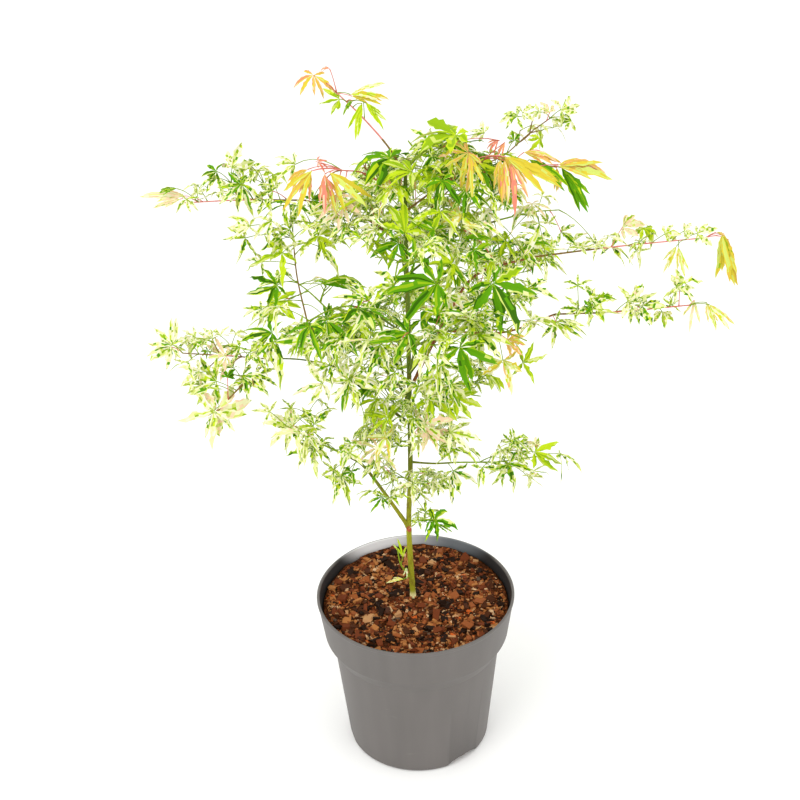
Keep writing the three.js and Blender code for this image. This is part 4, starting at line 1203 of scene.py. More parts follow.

# %% [markdown]
# ## Leaves that stand out
#
# The leaves at the rim of the crown, the broad plain green ones and the young ones coloured like apricots
# give this plant its character, so they are set one by one, mass by mass: the place of the palm in
# millimetres, the way the middle lobe points as seen from the camera, in degrees from the right, how far
# the leaf turns its face to the camera in hundredths, its size, its kind and, where it isn't the usual
# one, its shape. Their places were read by eye in the photograph, in pixels, and a small program turned
# them into millimetres. A stalk joins each one to its mass.

# %% Feature leaves
FEATURES = {
    "foot": [
        (-11, 3, 179, 174, 55, 19, "pale_gold", "strap"), (-11, 4, 204, 98, 60, 21, "fresh", "strap"),
    ],
    "fork": [
        (19, -18, 260, 358, 50, 28, "green", "slim"), (21, -18, 256, 330, 60, 20, "green", "strap"),
        (15, -16, 259, 300, 60, 14, "green", "slim"),
    ],
    "low_left": [
        (-101, -50, 384, 172, 90, 33, "pale", "broad"), (-102, -48, 381, 235, 85, 22, "speckled"),
        (-83, -44, 381, 60, 90, 21, "speckled"), (-85, -42, 378, 215, 85, 16, "fresh", "narrow"),
        (-119, -56, 401, 170, 75, 18, "pale"), (-84, -46, 360, 268, 70, 27, "speckled", "slim"),
        (-86, -44, 357, 215, 70, 22, "speckled", "slim"),
        (-62, -30, 316, 232, 75, 29, "speckled", "slim"),
        (-63, -32, 320, 290, 75, 20, "speckled", "slim"),
        (-69, -34, 328, 190, 60, 16, "speckled", "slim"),
    ],
    "low_right": [
        (88, -20, 344, 90, 80, 14, "speckled"), (109, -28, 337, 348, 80, 28, "fresh", "narrow"),
        (110, -26, 343, 110, 70, 9, "blush", "wavy"), (96, -24, 335, 330, 70, 16, "speckled"),
        (86, -20, 320, 300, 75, 30, "speckled", "slim"), (82, -20, 318, 255, 75, 22, "speckled", "slim"),
        (37, -12, 310, 292, 60, 30, "speckled"),
    ],
    "mid_left": [
        (-51, -40, 423, 246, 85, 34, "green", "folded"), (-50, -38, 423, 20, 80, 32, "pale"),
        (-52, -42, 422, 190, 80, 28, "pale"), (-49, -40, 419, 290, 80, 30, "speckled"),
        (-22, -35, 360, 170, 75, 30, "pale_gold"), (-30, -30, 347, 240, 70, 26, "blush"),
        (-12, -25, 345, 115, 70, 16, "speckled"), (-33, -35, 335, 210, 75, 20, "speckled"),
        (-54, -30, 323, 250, 75, 18, "green", "slim"),
    ],
    "second_right": [
        (25, -50, 416, 4, 55, 30, "speckled"), (17, -45, 406, 350, 60, 34, "fresh"),
        (7, -50, 419, 200, 60, 28, "speckled"), (24, -55, 428, 250, 60, 28, "speckled"),
        (38, -45, 403, 340, 60, 26, "fresh"),
    ],
    "left_tip": [
        (-196, -50, 464, 100, 90, 28, "pale", "broad"), (-197, -48, 461, 215, 85, 24, "pale", "narrow"),
        (-164, -38, 463, 168, 70, 17, "pale"), (-168, -44, 454, 180, 60, 9, "green"),
        (-142, -36, 453, 200, 65, 20, "speckled"), (-153, -46, 450, 188, 65, 25, "blush"),
        (-177, -44, 467, 200, 70, 18, "pale"), (-133, -46, 453, 330, 75, 22, "speckled"),
        (-114, -35, 465, 186, 65, 29, "green"), (-120, -42, 457, 250, 70, 22, "speckled"),
        (-113, -44, 461, 296, 70, 34, "speckled"),
    ],
    "left_drop": [
        (-161, -60, 434, 166, 75, 33, "speckled"), (-151, -62, 438, 70, 70, 11, "green", "wavy"),
        (-174, -60, 443, 185, 70, 22, "pale"), (-170, -62, 432, 200, 75, 22, "speckled"),
        (-140, -50, 433, 326, 75, 28, "speckled"), (-137, -50, 431, 262, 80, 22, "pale"),
        (-127, -48, 431, 345, 75, 22, "speckled", "slim"), (-161, -74, 414, 8, 75, 34, "blush", "wavy"),
        (-163, -76, 415, 205, 85, 34, "pale", "slim"), (-162, -75, 413, 262, 80, 24, "pale", "narrow"),
    ],
    "left_upright": [
        (-97, 10, 539, 172, 60, 26, "speckled", "slim"), (-105, 8, 531, 188, 60, 24, "speckled", "slim"),
        (-122, 6, 512, 150, 60, 22, "pale", "slim"), (-130, 6, 545, 170, 60, 24, "pale", "slim"),
        (-111, 4, 549, 210, 60, 22, "pale", "slim"), (-135, 6, 534, 200, 60, 22, "speckled", "slim"),
        (-95, 20, 540, 100, 60, 18, "speckled"), (-81, 0, 544, 50, 60, 20, "pale"),
        (-104, 0, 522, 212, 70, 30, "fresh", "slim"), (-70, -10, 530, 325, 70, 24, "speckled"),
        (-92, -25, 460, 178, 55, 20, "speckled"), (-91, -30, 455, 278, 70, 24, "speckled"),
        (-67, -50, 483, 308, 65, 40, "green"), (-72, -10, 497, 8, 60, 46, "green", "folded"),
        (-70, -10, 498, 135, 60, 12, "green", "strap"), (-54, -10, 496, 330, 60, 24, "speckled", "strap"),
        (-67, -50, 483, 78, 70, 24, "green", "strap"), (-110, -5, 495, 190, 80, 29, "green"),
        (-124, -10, 475, 180, 60, 18, "speckled"), (-87, -30, 455, 250, 60, 24, "speckled"),
        (-74, -42, 419, 190, 80, 28, "pale"), (-67, -38, 434, 160, 60, 24, "speckled"),
    ],
    "left_crown": [
        (-49, -20, 555, 255, 60, 22, "speckled"), (-68, -14, 555, 200, 60, 24, "speckled", "slim"),
        (-72, -10, 541, 330, 65, 24, "fresh", "slim"), (-58, -12, 562, 240, 60, 24, "pale", "slim"),
        (-10, -30, 588, 187, 45, 28, "pale_gold"),
    ],
    "upper_left": [
        (-188, 40, 560, 172, 80, 40, "blush", "folded"), (-191, 38, 558, 190, 80, 26, "blush", "folded"),
        (-192, 34, 569, 178, 65, 20, "green", "folded"), (-186, 40, 557, 262, 75, 17, "pale"),
        (-177, 45, 560, 80, 70, 11, "pale"), (-136, 25, 575, 255, 80, 30, "speckled", "broad"),
        (-137, 24, 575, 150, 75, 18, "green", "broad"), (-158, 40, 581, 170, 75, 15, "green", "wavy"),
        (-145, 42, 583, 60, 75, 22, "pale", "wavy"), (-130, 50, 582, 250, 75, 17, "speckled", "wavy"),
        (-112, 35, 564, 150, 60, 21, "speckled"), (-119, 25, 561, 260, 60, 17, "speckled"),
    ],
    "crown_left": [
        (-89, 10, 596, 165, 60, 23, "pale"), (-73, -26, 603, 228, 70, 44, "gold", "strap"),
        (-74, -24, 602, 252, 70, 30, "apricot", "strap"), (-63, -26, 600, 272, 70, 38, "salmon", "strap"),
        (-59, -28, 602, 310, 70, 46, "gold", "strap"), (-77, -20, 602, 205, 70, 30, "apricot", "strap"),
        (-62, -24, 596, 288, 70, 34, "apricot", "strap"), (-69, -10, 604, 30, 40, 12, "salmon"),
        (-55, -24, 581, 280, 60, 26, "blush"), (-76, -4, 570, 10, 70, 18, "green", "maple"),
        (-51, -15, 567, 300, 60, 25, "blush"),
    ],
    "top_left": [
        (-70, 15, 668, 262, 50, 22, "apricot"), (-57, 15, 673, 160, 50, 12, "salmon", "folded"),
        (-41, 10, 653, 2, 60, 36, "pale_gold", "strap"), (-40, 9, 652, 344, 60, 28, "gold", "folded"),
        (-50, 8, 650, 195, 60, 17, "fresh", "wavy"), (-32, 5, 647, 250, 70, 30, "fresh", "folded"),
        (-29, 3, 648, 304, 70, 25, "fresh", "folded"), (-40, 4, 650, 235, 60, 14, "green", "folded"),
    ],
    "top": [
        (-11, -12, 607, 186, 22, 40, "green", "broad"), (6, -25, 599, 200, 25, 28, "fresh", "maple"),
        (-4, -28, 589, 230, 60, 26, "fresh", "narrow"), (-3, -20, 586, 240, 50, 18, "green"),
        (42, -15, 625, 180, 18, 40, "fresh", "maple"), (21, -10, 619, 175, 60, 22, "speckled"),
        (38, 0, 614, 12, 30, 24, "green", "maple"), (23, -10, 607, 260, 60, 15, "green"),
        (78, 5, 613, 196, 60, 18, "salmon", "strap"), (77, 5, 613, 235, 60, 13, "salmon", "strap"),
        (67, 25, 613, 150, 70, 16, "pale", "wavy"),
    ],
    "crown_right": [
        (82, 0, 613, 248, 60, 15, "salmon", "strap"), (51, -25, 614, 222, 55, 34, "apricot"),
        (53, -26, 612, 268, 60, 34, "gold", "strap"), (77, -24, 607, 262, 60, 34, "apricot", "strap"),
        (80, -26, 607, 268, 60, 38, "apricot", "folded"), (84, -27, 606, 285, 60, 40, "salmon", "strap"),
        (81, -26, 610, 326, 70, 52, "gold", "folded"), (80, -22, 609, 304, 60, 34, "apricot", "strap"),
        (102, 0, 598, 315, 55, 44, "plain", "folded"), (125, -6, 595, 6, 55, 48, "apricot", "folded"),
        (125, -7, 594, 352, 60, 44, "gold", "strap"), (97, -5, 606, 350, 60, 34, "apricot", "folded"),
        (124, -4, 592, 275, 65, 22, "apricot", "folded"), (128, -2, 591, 306, 75, 46, "plain", "folded"),
    ],
    "upper_right": [
        (97, 60, 615, 180, 75, 18, "speckled", "wavy"), (101, 60, 618, 20, 75, 14, "pale", "wavy"),
        (125, 68, 615, 110, 70, 12, "blush", "wavy"), (117, 66, 616, 170, 75, 12, "pale", "wavy"),
        (135, 75, 615, 15, 75, 20, "pale", "wavy"), (144, 72, 606, 200, 75, 15, "speckled", "wavy"),
        (116, 55, 597, 190, 70, 14, "fresh", "wavy"), (93, 45, 599, 100, 70, 11, "green", "wavy"),
    ],
    "right_crown": [
        (106, 10, 556, 285, 60, 16, "blush", "hanging"), (122, 35, 528, 90, 70, 14, "speckled"),
        (134, 38, 518, 345, 60, 20, "speckled"), (165, 44, 504, 90, 70, 14, "speckled"),
        (120, 25, 499, 310, 60, 18, "speckled"), (84, 10, 524, 200, 60, 24, "fresh", "slim"),
        (97, 0, 519, 330, 60, 24, "speckled"), (78, -5, 516, 250, 60, 22, "speckled"),
        (66, -20, 562, 280, 60, 26, "pale"),
    ],
    "right_long": [
        (188, 44, 519, 5, 75, 20, "blush", "wavy"), (206, 44, 517, 300, 75, 14, "fresh", "wavy"),
        (225, 46, 510, 20, 75, 14, "pale", "wavy"), (242, 47, 512, 10, 75, 13, "pale", "wavy"),
        (254, 48, 509, 10, 75, 18, "pale", "wavy"), (235, 40, 501, 243, 70, 26, "pale_gold", "strap"),
        (237, 40, 500, 276, 70, 30, "pale_gold", "strap"), (200, 38, 499, 350, 60, 18, "pale"),
        (278, 50, 507, 285, 80, 36, "gold", "folded"), (276, 49, 507, 278, 88, 50, "gold", "folded"),
        (282, 49, 502, 268, 88, 42, "gold", "strap"), (271, 50, 509, 350, 50, 12, "apricot", "folded"),
    ],
    "right_lower": [
        (140, -38, 502, 90, 80, 15, "speckled"), (151, -40, 490, 355, 60, 24, "speckled", "wavy"),
        (150, -42, 485, 330, 65, 26, "speckled"), (150, -46, 487, 200, 70, 11, "green", "wavy"),
        (141, -40, 482, 176, 60, 18, "speckled"), (180, -48, 491, 10, 75, 24, "pale", "wavy"),
        (185, -48, 488, 250, 70, 15, "speckled", "wavy"),
        (192, -50, 488, 340, 60, 20, "speckled", "wavy"), (186, -50, 495, 60, 70, 14, "pale", "wavy"),
        (208, -52, 483, 280, 75, 15, "pale", "wavy"), (215, -55, 490, 100, 60, 14, "speckled"),
        (221, -52, 501, 90, 75, 20, "pale", "wavy"), (233, -55, 494, 262, 70, 26, "blush", "strap"),
        (244, -62, 493, 312, 75, 32, "pale_gold", "strap"),
        (242, -60, 494, 285, 75, 24, "pale_gold", "strap"),
        (122, -45, 473, 300, 60, 27, "speckled", "broad"),
        (125, -45, 475, 335, 60, 26, "speckled", "folded"),
    ],
    "low_front": [
        (-28, -25, 292, 240, 70, 16, "green"),
    ],
    "low_side": [
        (7, -10, 286, 300, 70, 15, "speckled"), (11, -8, 263, 20, 60, 17, "speckled"),
    ],
    "waist_right": [
        (11, -35, 371, 10, 75, 32, "blush", "slim"), (15, -34, 364, 300, 75, 26, "blush", "slim"),
        (34, -35, 364, 352, 70, 28, "pale"), (25, -30, 347, 350, 65, 24, "speckled"),
        (19, -40, 395, 330, 60, 24, "speckled"),
    ],
    "waist_left": [
        (-20, -40, 383, 175, 70, 25, "fresh"),
    ],
    "core_left": [
        (-6, -50, 549, 217, 55, 30, "green"), (-1, -50, 558, 80, 70, 28, "fresh"),
        (-25, -40, 557, 200, 65, 26, "pale"), (-6, -30, 565, 300, 60, 24, "pale"),
    ],
    "core_right": [
        (30, -40, 597, 272, 55, 26, "green"), (45, -40, 567, 180, 55, 30, "pale_gold"),
        (58, -35, 559, 340, 60, 26, "pale"), (23, -50, 560, 130, 65, 26, "green", "slim"),
        (46, -48, 551, 12, 55, 27, "plain", "folded"), (37, -60, 535, 205, 60, 28, "fresh", "slim"),
        (32, -58, 535, 300, 60, 28, "green", "folded"), (28, -46, 573, 250, 60, 26, "fresh", "slim"),
        (45, -48, 561, 350, 50, 24, "pale_gold", "strap"), (69, -50, 534, 268, 60, 28, "fresh", "strap"),
        (26, -60, 517, 230, 60, 26, "plain", "folded"), (54, -52, 542, 320, 60, 24, "green", "slim"),
        (59, -30, 591, 200, 60, 28, "speckled"), (70, -28, 578, 330, 60, 26, "speckled"),
        (49, -35, 587, 300, 60, 28, "green"),
    ],
    "right_front": [
        (97, -60, 511, 335, 55, 26, "speckled"), (67, -90, 530, 314, 75, 48, "green"),
        (40, -104, 482, 300, 65, 36, "green"), (56, -85, 483, 320, 70, 33, "speckled"),
        (80, -75, 473, 350, 85, 22, "apricot", "narrow"),
        (76, -80, 457, 280, 80, 28, "pale_gold", "narrow"), (93, -70, 449, 350, 80, 23, "fresh", "slim"),
        (52, -30, 522, 60, 60, 26, "green"), (58, -70, 507, 200, 60, 28, "speckled"),
        (50, -75, 493, 280, 65, 30, "speckled"), (40, -45, 524, 200, 60, 26, "speckled"),
        (51, -60, 535, 30, 60, 26, "speckled"), (32, -70, 511, 320, 60, 28, "pale"),
    ],
    "front": [
        (0, -106, 497, 212, 75, 36, "green"), (25, -95, 509, 60, 70, 26, "speckled"),
        (25, -95, 462, 300, 65, 30, "speckled"), (-12, -85, 451, 220, 70, 28, "speckled"),
        (12, -60, 415, 20, 60, 26, "pale"), (34, -60, 425, 320, 60, 26, "speckled"),
    ],
    "front_left": [
        (-30, -85, 516, 190, 60, 34, "speckled"), (-38, -80, 497, 230, 65, 30, "speckled"),
        (-23, -80, 474, 250, 70, 30, "speckled"), (-56, -60, 471, 205, 60, 30, "speckled"),
        (-72, -50, 460, 195, 60, 26, "speckled"),
    ],
    "upper_front": [
        (23, -92, 532, 192, 80, 46, "green"), (7, -65, 539, 130, 70, 24, "green"),
        (-10, -80, 526, 170, 65, 30, "speckled"),
    ],
}
for name, rows in FEATURES.items():
    for x, y, z, turn, facing, size, kind, *family in rows:
        MASSES[name].add_feature((x, y, z), math.radians(turn), facing / 100, size, kind, *family)
ALL_PLACED = [leaf for mass in MASSES.values() for leaf in mass.placed]
for mass in MASSES.values():
    mass.make_way(ALL_PLACED)
print("leaves:", sum(len(mass.leaves) for mass in MASSES.values()), "and by hand:", len(ALL_PLACED))

# %% [markdown]
# ## The leaf
#
# A leaf is a fan of three to seven narrow lobes that meet at the end of the stalk and hang down to long
# drawn out tips. Each lobe is two strips of faces on either side of its midrib. Variegated leaves are
# narrow and crinkled, green ones broader and smoother. A few shapes of each are made, and all leaves pick
# from them.

# %% Leaf shapes
LOBE_PLANS = {
    "seven": {"turns": [0, 36, -36, 76, -76, 122, -122], "lengths": [1, 0.93, 0.93, 0.74, 0.74, 0.45, 0.45]},
    "five": {"turns": [0, 40, -40, 86, -86], "lengths": [1, 0.9, 0.9, 0.62, 0.62]},
    "star": {"turns": [0, 54, -54, 112, -112], "lengths": [1, 0.92, 0.92, 0.7, 0.7]},
    "drooping": {
        "turns": [0, 36, -36, 74, -74, 112, -112], "lengths": [0.74, 0.96, 0.92, 1, 0.96, 0.5, 0.46],
    },
    "folded": {"turns": [0, 7, -6, 13, -12], "lengths": [1, 0.96, 0.86, 0.66, 0.5]},
    "strap": {"turns": [0, 15, -17], "lengths": [1, 0.84, 0.66]},
}
STATIONS = np.array([0.09, 0.19, 0.3, 0.41, 0.52, 0.63, 0.75, 0.88])
STRIPS = 4
TEETH = np.array([1.0, 1.0, 1.12, 0.82, 1.14, 0.82, 1.12, 0.9])


class LeafShapes:
    """Seeded variants of one plan of lobes, as points in units of the middle lobe: along, across and up.

    A lobe's half width goes as s^a (1 - s)^b of the share s of its length, which is widest at a / (a + b)
    and drawn out at the tip. The margin has teeth, and it ends at the line half way to the next lobe. The
    height goes as e s - d s^2: a lobe rises from the palm and its tip droops. peak is (a, b), half the half
    width, inner the place of the inner strips' border, ragged how uneven the teeth are, calm how alike and
    how flat the lobes are, and room, where it is given, how far a folded lobe may spread."""

    def __init__(self, seed, plan, half, peak, inner, ragged, calm, variants, room=None):
        turns = np.radians(LOBE_PLANS[plan]["turns"])
        lengths = np.array(LOBE_PLANS[plan]["lengths"], float)
        chance = np.random.default_rng(seed)
        lobes, stations = len(turns), len(STATIONS)
        shape = (variants, lobes, 1, 1)
        wild = 1 - calm
        turn = turns[:, None, None] + chance.normal(0, 0.05 + 0.09 * wild, shape)
        length = lengths[:, None, None] * chance.uniform(0.9 - 0.25 * wild, 1.05 + 0.05 * wild, shape)
        bend = chance.normal(0, 0.06 + 0.2 * wild, shape) * length
        lift = chance.normal(0.2, 0.05 + 0.28 * wild, shape) * length
        droop = chance.normal(0.34, 0.05 + 0.22 * wild, shape) * length
        twist = chance.normal(0, 0.3 + 1.1 * wild, shape)
        columns = np.array([-1.0, -inner, 0.0, inner, 1.0])
        share = STATIONS[:, None] + chance.normal(0, 0.01, (variants, lobes, stations, 1))
        share = share + 0.03 * np.abs(columns) * STATIONS[:, None]
        rising, falling = peak
        widest = rising / (rising + falling)
        width = (share / widest) ** rising * ((1 - np.minimum(share, 0.97)) / (1 - widest)) ** falling
        width = width * half * lengths[:, None, None] ** 0.6
        torn = chance.uniform(1 - ragged, 1 + ragged, (variants, lobes, stations, STRIPS + 1))
        width = width * np.where(np.abs(columns) == 1, TEETH[:, None] * torn, 1.0)
        radius = share * length
        width = np.minimum(width, radius * np.tan(room or turns[1] / 2) * 1.03)
        wander = chance.normal(0, 0.004 + 0.02 * wild, (variants, lobes, stations, 1)) * share**0.5
        rise = width * np.abs(columns) * 0.4 + width * columns * np.sin(twist * share)
        rise = rise + wander * chance.normal(0, 1, shape) + lift * share - droop * share**2
        strips = self.laid(turn, radius, width * columns + bend * share**2 + wander, rise)
        tips = self.laid(turn, length, bend, lift - droop)
        parts = [np.zeros((variants, 1, 3)), strips, tips]
        self.points = np.concatenate([part.reshape(variants, -1, 3) for part in parts], axis=1)
        self.variants = variants
        self.lay_faces(lobes, stations)

    def laid(self, turn, radius, off, rise):
        """From a lobe's own radius, offset and rise to along, across and up."""
        x = radius * np.cos(turn) - off * np.sin(turn)
        y = radius * np.sin(turn) + off * np.cos(turn)
        return np.stack([x, y, rise + 0 * x], axis=-1)

    def lay_faces(self, lobes, stations):
        """Strips on both sides of each midrib, from the palm at the stalk's end to the lobe's tip. where
        says the lobe, step and column of each face, and on_rib which points lie on a midrib."""
        quads, triangles = [], []
        wide = STRIPS + 1
        for lobe in range(lobes):
            start = 1 + lobe * stations * wide
            tip = 1 + lobes * stations * wide + lobe
            for column in range(wide - 1):
                near = start + column
                triangles.append([0, near, near + 1, lobe, 0, column])
                for step in range(stations - 1):
                    here = near + step * wide
                    quads.append([here, here + wide, here + wide + 1, here + 1, lobe, step + 1, column])
                last = near + (stations - 1) * wide
                triangles.append([last, tip, last + 1, lobe, stations, column])
        quads, triangles = np.array(quads), np.array(triangles)
        self.quads, self.triangles = quads[:, :4], triangles[:, :3]
        self.where = np.vstack([quads[:, 4:], triangles[:, 3:]])
        self.on_rib = np.ones(1 + lobes * (stations * wide + 1), bool)
        self.on_rib[1:1 + lobes * stations * wide] = np.arange(lobes * stations * wide) % wide == wide // 2


# Each row has the plan, half, peak, inner, ragged, calm, the number of variants and the room.
SHAPE_SIZES = {
    "narrow": ("five", 0.11, (0.9, 1.1), 0.52, 0.2, 0.35, 30),
    "slim": ("star", 0.1, (0.9, 1.2), 0.52, 0.25, 0.25, 30),
    "broad": ("seven", 0.09, (1.1, 1.1), 0.64, 0.18, 0.5, 16),
    "wavy": ("five", 0.16, (0.8, 0.9), 0.6, 0.25, 0.12, 16),
    "maple": ("seven", 0.13, (1.0, 0.95), 0.66, 0.12, 0.62, 10),
    "hanging": ("drooping", 0.08, (1.3, 1.1), 0.6, 0.06, 0.62, 12),
    "folded": ("folded", 0.058, (0.9, 0.8), 0.6, 0.1, 0.92, 8, 0.3),
    "strap": ("strap", 0.055, (1.0, 0.8), 0.6, 0.08, 0.85, 8, 0.3),
}
SHAPES = {name: LeafShapes(seed, *sizes) for seed, (name, sizes) in enumerate(SHAPE_SIZES.items(), 5)}
print("faces of one leaf:", len(SHAPES["narrow"].where))

# %% [markdown]
# ## Leaf colours
#
# The leaves of this plant are splashed: green along the ribs, cream or nearly white towards the edges,
# and a strip of a lobe may be one or the other. Young leaves at the tips are apricot or salmon, and some
# shoots are plain green. Each face takes one of fourteen plain colours, by odds that belong to its kind
# of leaf.

# %% Leaf finishes
LEAF_COLOURS = {
    "deep_green": (50, 94, 0),
    "green": (82, 138, 4),
    "leaf_green": (132, 164, 16),
    "moss": (146, 158, 62),
    "fresh_green": (174, 196, 26),
    "lime": (187, 199, 97),
    "pale_green": (206, 212, 144),
    "cream": (218, 216, 172),
    "ivory": (222, 219, 194),
    "blush": (222, 192, 158),
    "apricot": (214, 168, 102),
    "salmon": (212, 124, 102),
    "gold": (196, 178, 52),
    "ochre": (200, 160, 70),
}
TINT = {name: i for i, name in enumerate(LEAF_COLOURS)}
ODDS = {
    "speckled": {
        "rib": {"green": 0.3, "leaf_green": 0.4, "moss": 0.2, "fresh_green": 0.1},
        "dark": {"deep_green": 0.16, "green": 0.26, "leaf_green": 0.3, "moss": 0.14, "fresh_green": 0.14},
        "light": {"ivory": 0.14, "cream": 0.26, "pale_green": 0.32, "lime": 0.24, "fresh_green": 0.04},
        "edge": 0.24, "core": 0.66, "specks": 0.74,
    },
    "pale": {
        "rib": {"leaf_green": 0.3, "moss": 0.2, "lime": 0.3, "pale_green": 0.2},
        "dark": {"green": 0.14, "leaf_green": 0.3, "moss": 0.2, "lime": 0.26, "fresh_green": 0.1},
        "light": {"ivory": 0.26, "cream": 0.34, "pale_green": 0.3, "lime": 0.06, "blush": 0.04},
        "edge": 0.1, "core": 0.48, "specks": 0.65,
    },
    "green": {
        "rib": {"green": 0.6, "leaf_green": 0.3, "deep_green": 0.1},
        "dark": {"green": 0.62, "deep_green": 0.26, "leaf_green": 0.12},
        "light": {"leaf_green": 0.3, "fresh_green": 0.22, "lime": 0.22, "pale_green": 0.26},
        "edge": 0.5, "core": 0.98, "specks": 0.16,
    },
    "plain": {
        "rib": {"green": 0.6, "leaf_green": 0.4},
        "dark": {"green": 0.74, "leaf_green": 0.16, "deep_green": 0.1},
        "light": {"leaf_green": 0.7, "fresh_green": 0.3},
        "edge": 0.8, "core": 1.0, "specks": 0.1,
    },
    "fresh": {
        "rib": {"leaf_green": 0.5, "fresh_green": 0.5},
        "dark": {"fresh_green": 0.5, "leaf_green": 0.5},
        "light": {"lime": 0.5, "fresh_green": 0.35, "pale_green": 0.15},
        "edge": 0.5, "core": 0.85, "specks": 0.2,
    },
    "blush": {
        "rib": {"lime": 0.5, "pale_green": 0.5},
        "dark": {"leaf_green": 0.3, "lime": 0.5, "blush": 0.2},
        "light": {"blush": 0.52, "cream": 0.33, "pale_green": 0.15},
        "edge": 0.15, "core": 0.4, "specks": 0.4,
    },
    "apricot": {
        "rib": {"apricot": 0.4, "lime": 0.3, "gold": 0.3},
        "dark": {"gold": 0.4, "ochre": 0.35, "lime": 0.25},
        "light": {"apricot": 0.5, "salmon": 0.12, "blush": 0.2, "gold": 0.18},
        "edge": 0.5, "core": 0.6, "specks": 0.2,
    },
    "salmon": {
        "rib": {"salmon": 0.7, "apricot": 0.3},
        "dark": {"apricot": 0.5, "salmon": 0.5},
        "light": {"salmon": 0.8, "blush": 0.2},
        "edge": 0.3, "core": 0.3, "specks": 0.1,
    },
    "gold": {
        "rib": {"gold": 0.7, "lime": 0.3},
        "dark": {"lime": 0.3, "leaf_green": 0.1, "ochre": 0.3, "gold": 0.3},
        "light": {"gold": 0.8, "lime": 0.2},
        "edge": 0.3, "core": 0.4, "specks": 0.25,
    },
    "pale_gold": {
        "rib": {"lime": 0.6, "gold": 0.4},
        "dark": {"lime": 0.5, "fresh_green": 0.2, "gold": 0.3},
        "light": {"cream": 0.42, "gold": 0.2, "apricot": 0.08, "pale_green": 0.3},
        "edge": 0.2, "core": 0.5, "specks": 0.4,
    },
}
SHAPE_OF = {
    "green": ["broad"], "fresh": ["maple", "broad"], "gold": ["folded"], "salmon": ["hanging"],
    "apricot": ["hanging"], "pale_gold": ["hanging", "slim"], "blush": ["narrow", "hanging"],
}
CURL_OF = {"gold": 0.4, "apricot": 0.9, "salmon": 1.0, "pale_gold": 0.6, "green": 0.7}
USUAL_CURL, CURL_SPREAD = 0.3, (0.3, 1.7)
DARK_AT_PALM, LESS_DARK_OUTWARDS = 1.25, 0.07
LEAF_MATERIALS = [plain_finish(name, rgb) for name, rgb in LEAF_COLOURS.items()]


def dealt(chance, odds, count):
    """That many tints drawn by the odds."""
    return chance.choice([TINT[name] for name in odds], count, p=np.array(list(odds.values())))


def face_tints(chance, kind, where):
    """A tint for each face of one leaf. Each strip of a lobe has a tint of its own, mostly a dark one beside
    the midrib and a light one at the margin, some faces are specks of any tint, and those at the palm are
    ribs."""
    lobe, step, column = where.T
    odds = ODDS[kind]
    inner = (column == 1) | (column == 2)
    strip = lobe * STRIPS + column
    strips = strip.max() + 1
    faces = len(where)
    own_dark, own_light = dealt(chance, odds["dark"], strips), dealt(chance, odds["light"], strips)
    is_speck = chance.random(faces) < odds["specks"]
    dark = np.where(is_speck, dealt(chance, odds["dark"], faces), own_dark[strip])
    light = np.where(is_speck, dealt(chance, odds["light"], faces), own_light[strip])
    share = np.where(inner, odds["core"], odds["edge"]) * (DARK_AT_PALM - LESS_DARK_OUTWARDS * step)
    is_dark = np.where(is_speck, chance.random(faces), chance.random(strips)[strip]) < share
    return np.where(step == 0, dealt(chance, odds["rib"], faces), np.where(is_dark, dark, light))


# %% Leaves of one mass
def bent(points, curl):
    """Points of flat leaves bent down over a ball: a radius r goes to sin(c r) / c, and drops by
    (1 - cos(c r)) / c."""
    radius = np.maximum(np.linalg.norm(points[..., :2], axis=-1), 1e-6)
    curl = curl[:, None]
    flat = np.sin(curl * radius) / (curl * radius)
    drop = (1 - np.cos(curl * radius)) / curl
    return np.stack([points[..., 0] * flat, points[..., 1] * flat, points[..., 2] - drop], axis=-1)


def leaf_blades(leaves, chance):
    """Points, faces, tints and midrib points of all the blades of a mass, one shape family at a time."""
    points, quads, triangles, quad_tints, triangle_tints, ribs = [], [], [], [], [], []
    count = 0
    for family, shapes in SHAPES.items():
        own = [leaf for leaf in leaves if leaf["family"] == family]
        if not own:
            continue
        pick = chance.integers(0, shapes.variants, len(own))
        curl = np.array([CURL_OF.get(leaf["kind"], USUAL_CURL) for leaf in own])
        curl = curl * chance.uniform(*CURL_SPREAD, len(own))
        local = bent(shapes.points[pick], curl)
        along = np.array([leaf["along"] for leaf in own])
        above = np.array([leaf["up"] for leaf in own])
        axes = np.stack([along, np.cross(above, along), above], axis=1)
        size = np.array([leaf["size"] for leaf in own])
        placed = np.einsum("nvi,nij->nvj", local, axes) * size[:, None, None]
        placed += np.array([leaf["palm"] for leaf in own])[:, None]
        shift = count + np.arange(len(own))[:, None, None] * shapes.points.shape[1]
        count += len(own) * shapes.points.shape[1]
        points.append(placed.reshape(-1, 3))
        ribs.append(np.tile(shapes.on_rib, len(own)))
        quads.append((shapes.quads + shift).reshape(-1, 4))
        triangles.append((shapes.triangles + shift).reshape(-1, 3))
        tints = np.array([face_tints(chance, leaf["kind"], shapes.where) for leaf in own])
        quad_tints.append(tints[:, :len(shapes.quads)].ravel())
        triangle_tints.append(tints[:, len(shapes.quads):].ravel())
    faces = [np.vstack(quads), np.vstack(triangles)]
    return np.vstack(points), faces, np.concatenate([*quad_tints, *triangle_tints]), np.concatenate(ribs)


# %% [markdown]
# ## Stalks and twigs
#
# Each blade hangs on a thin stalk that arches out of its node, red on the young shoots and green on the
# rest. Stems thicken a little at each node. They are all swept tubes with few sides, since they are only
# a millimetre or two across.

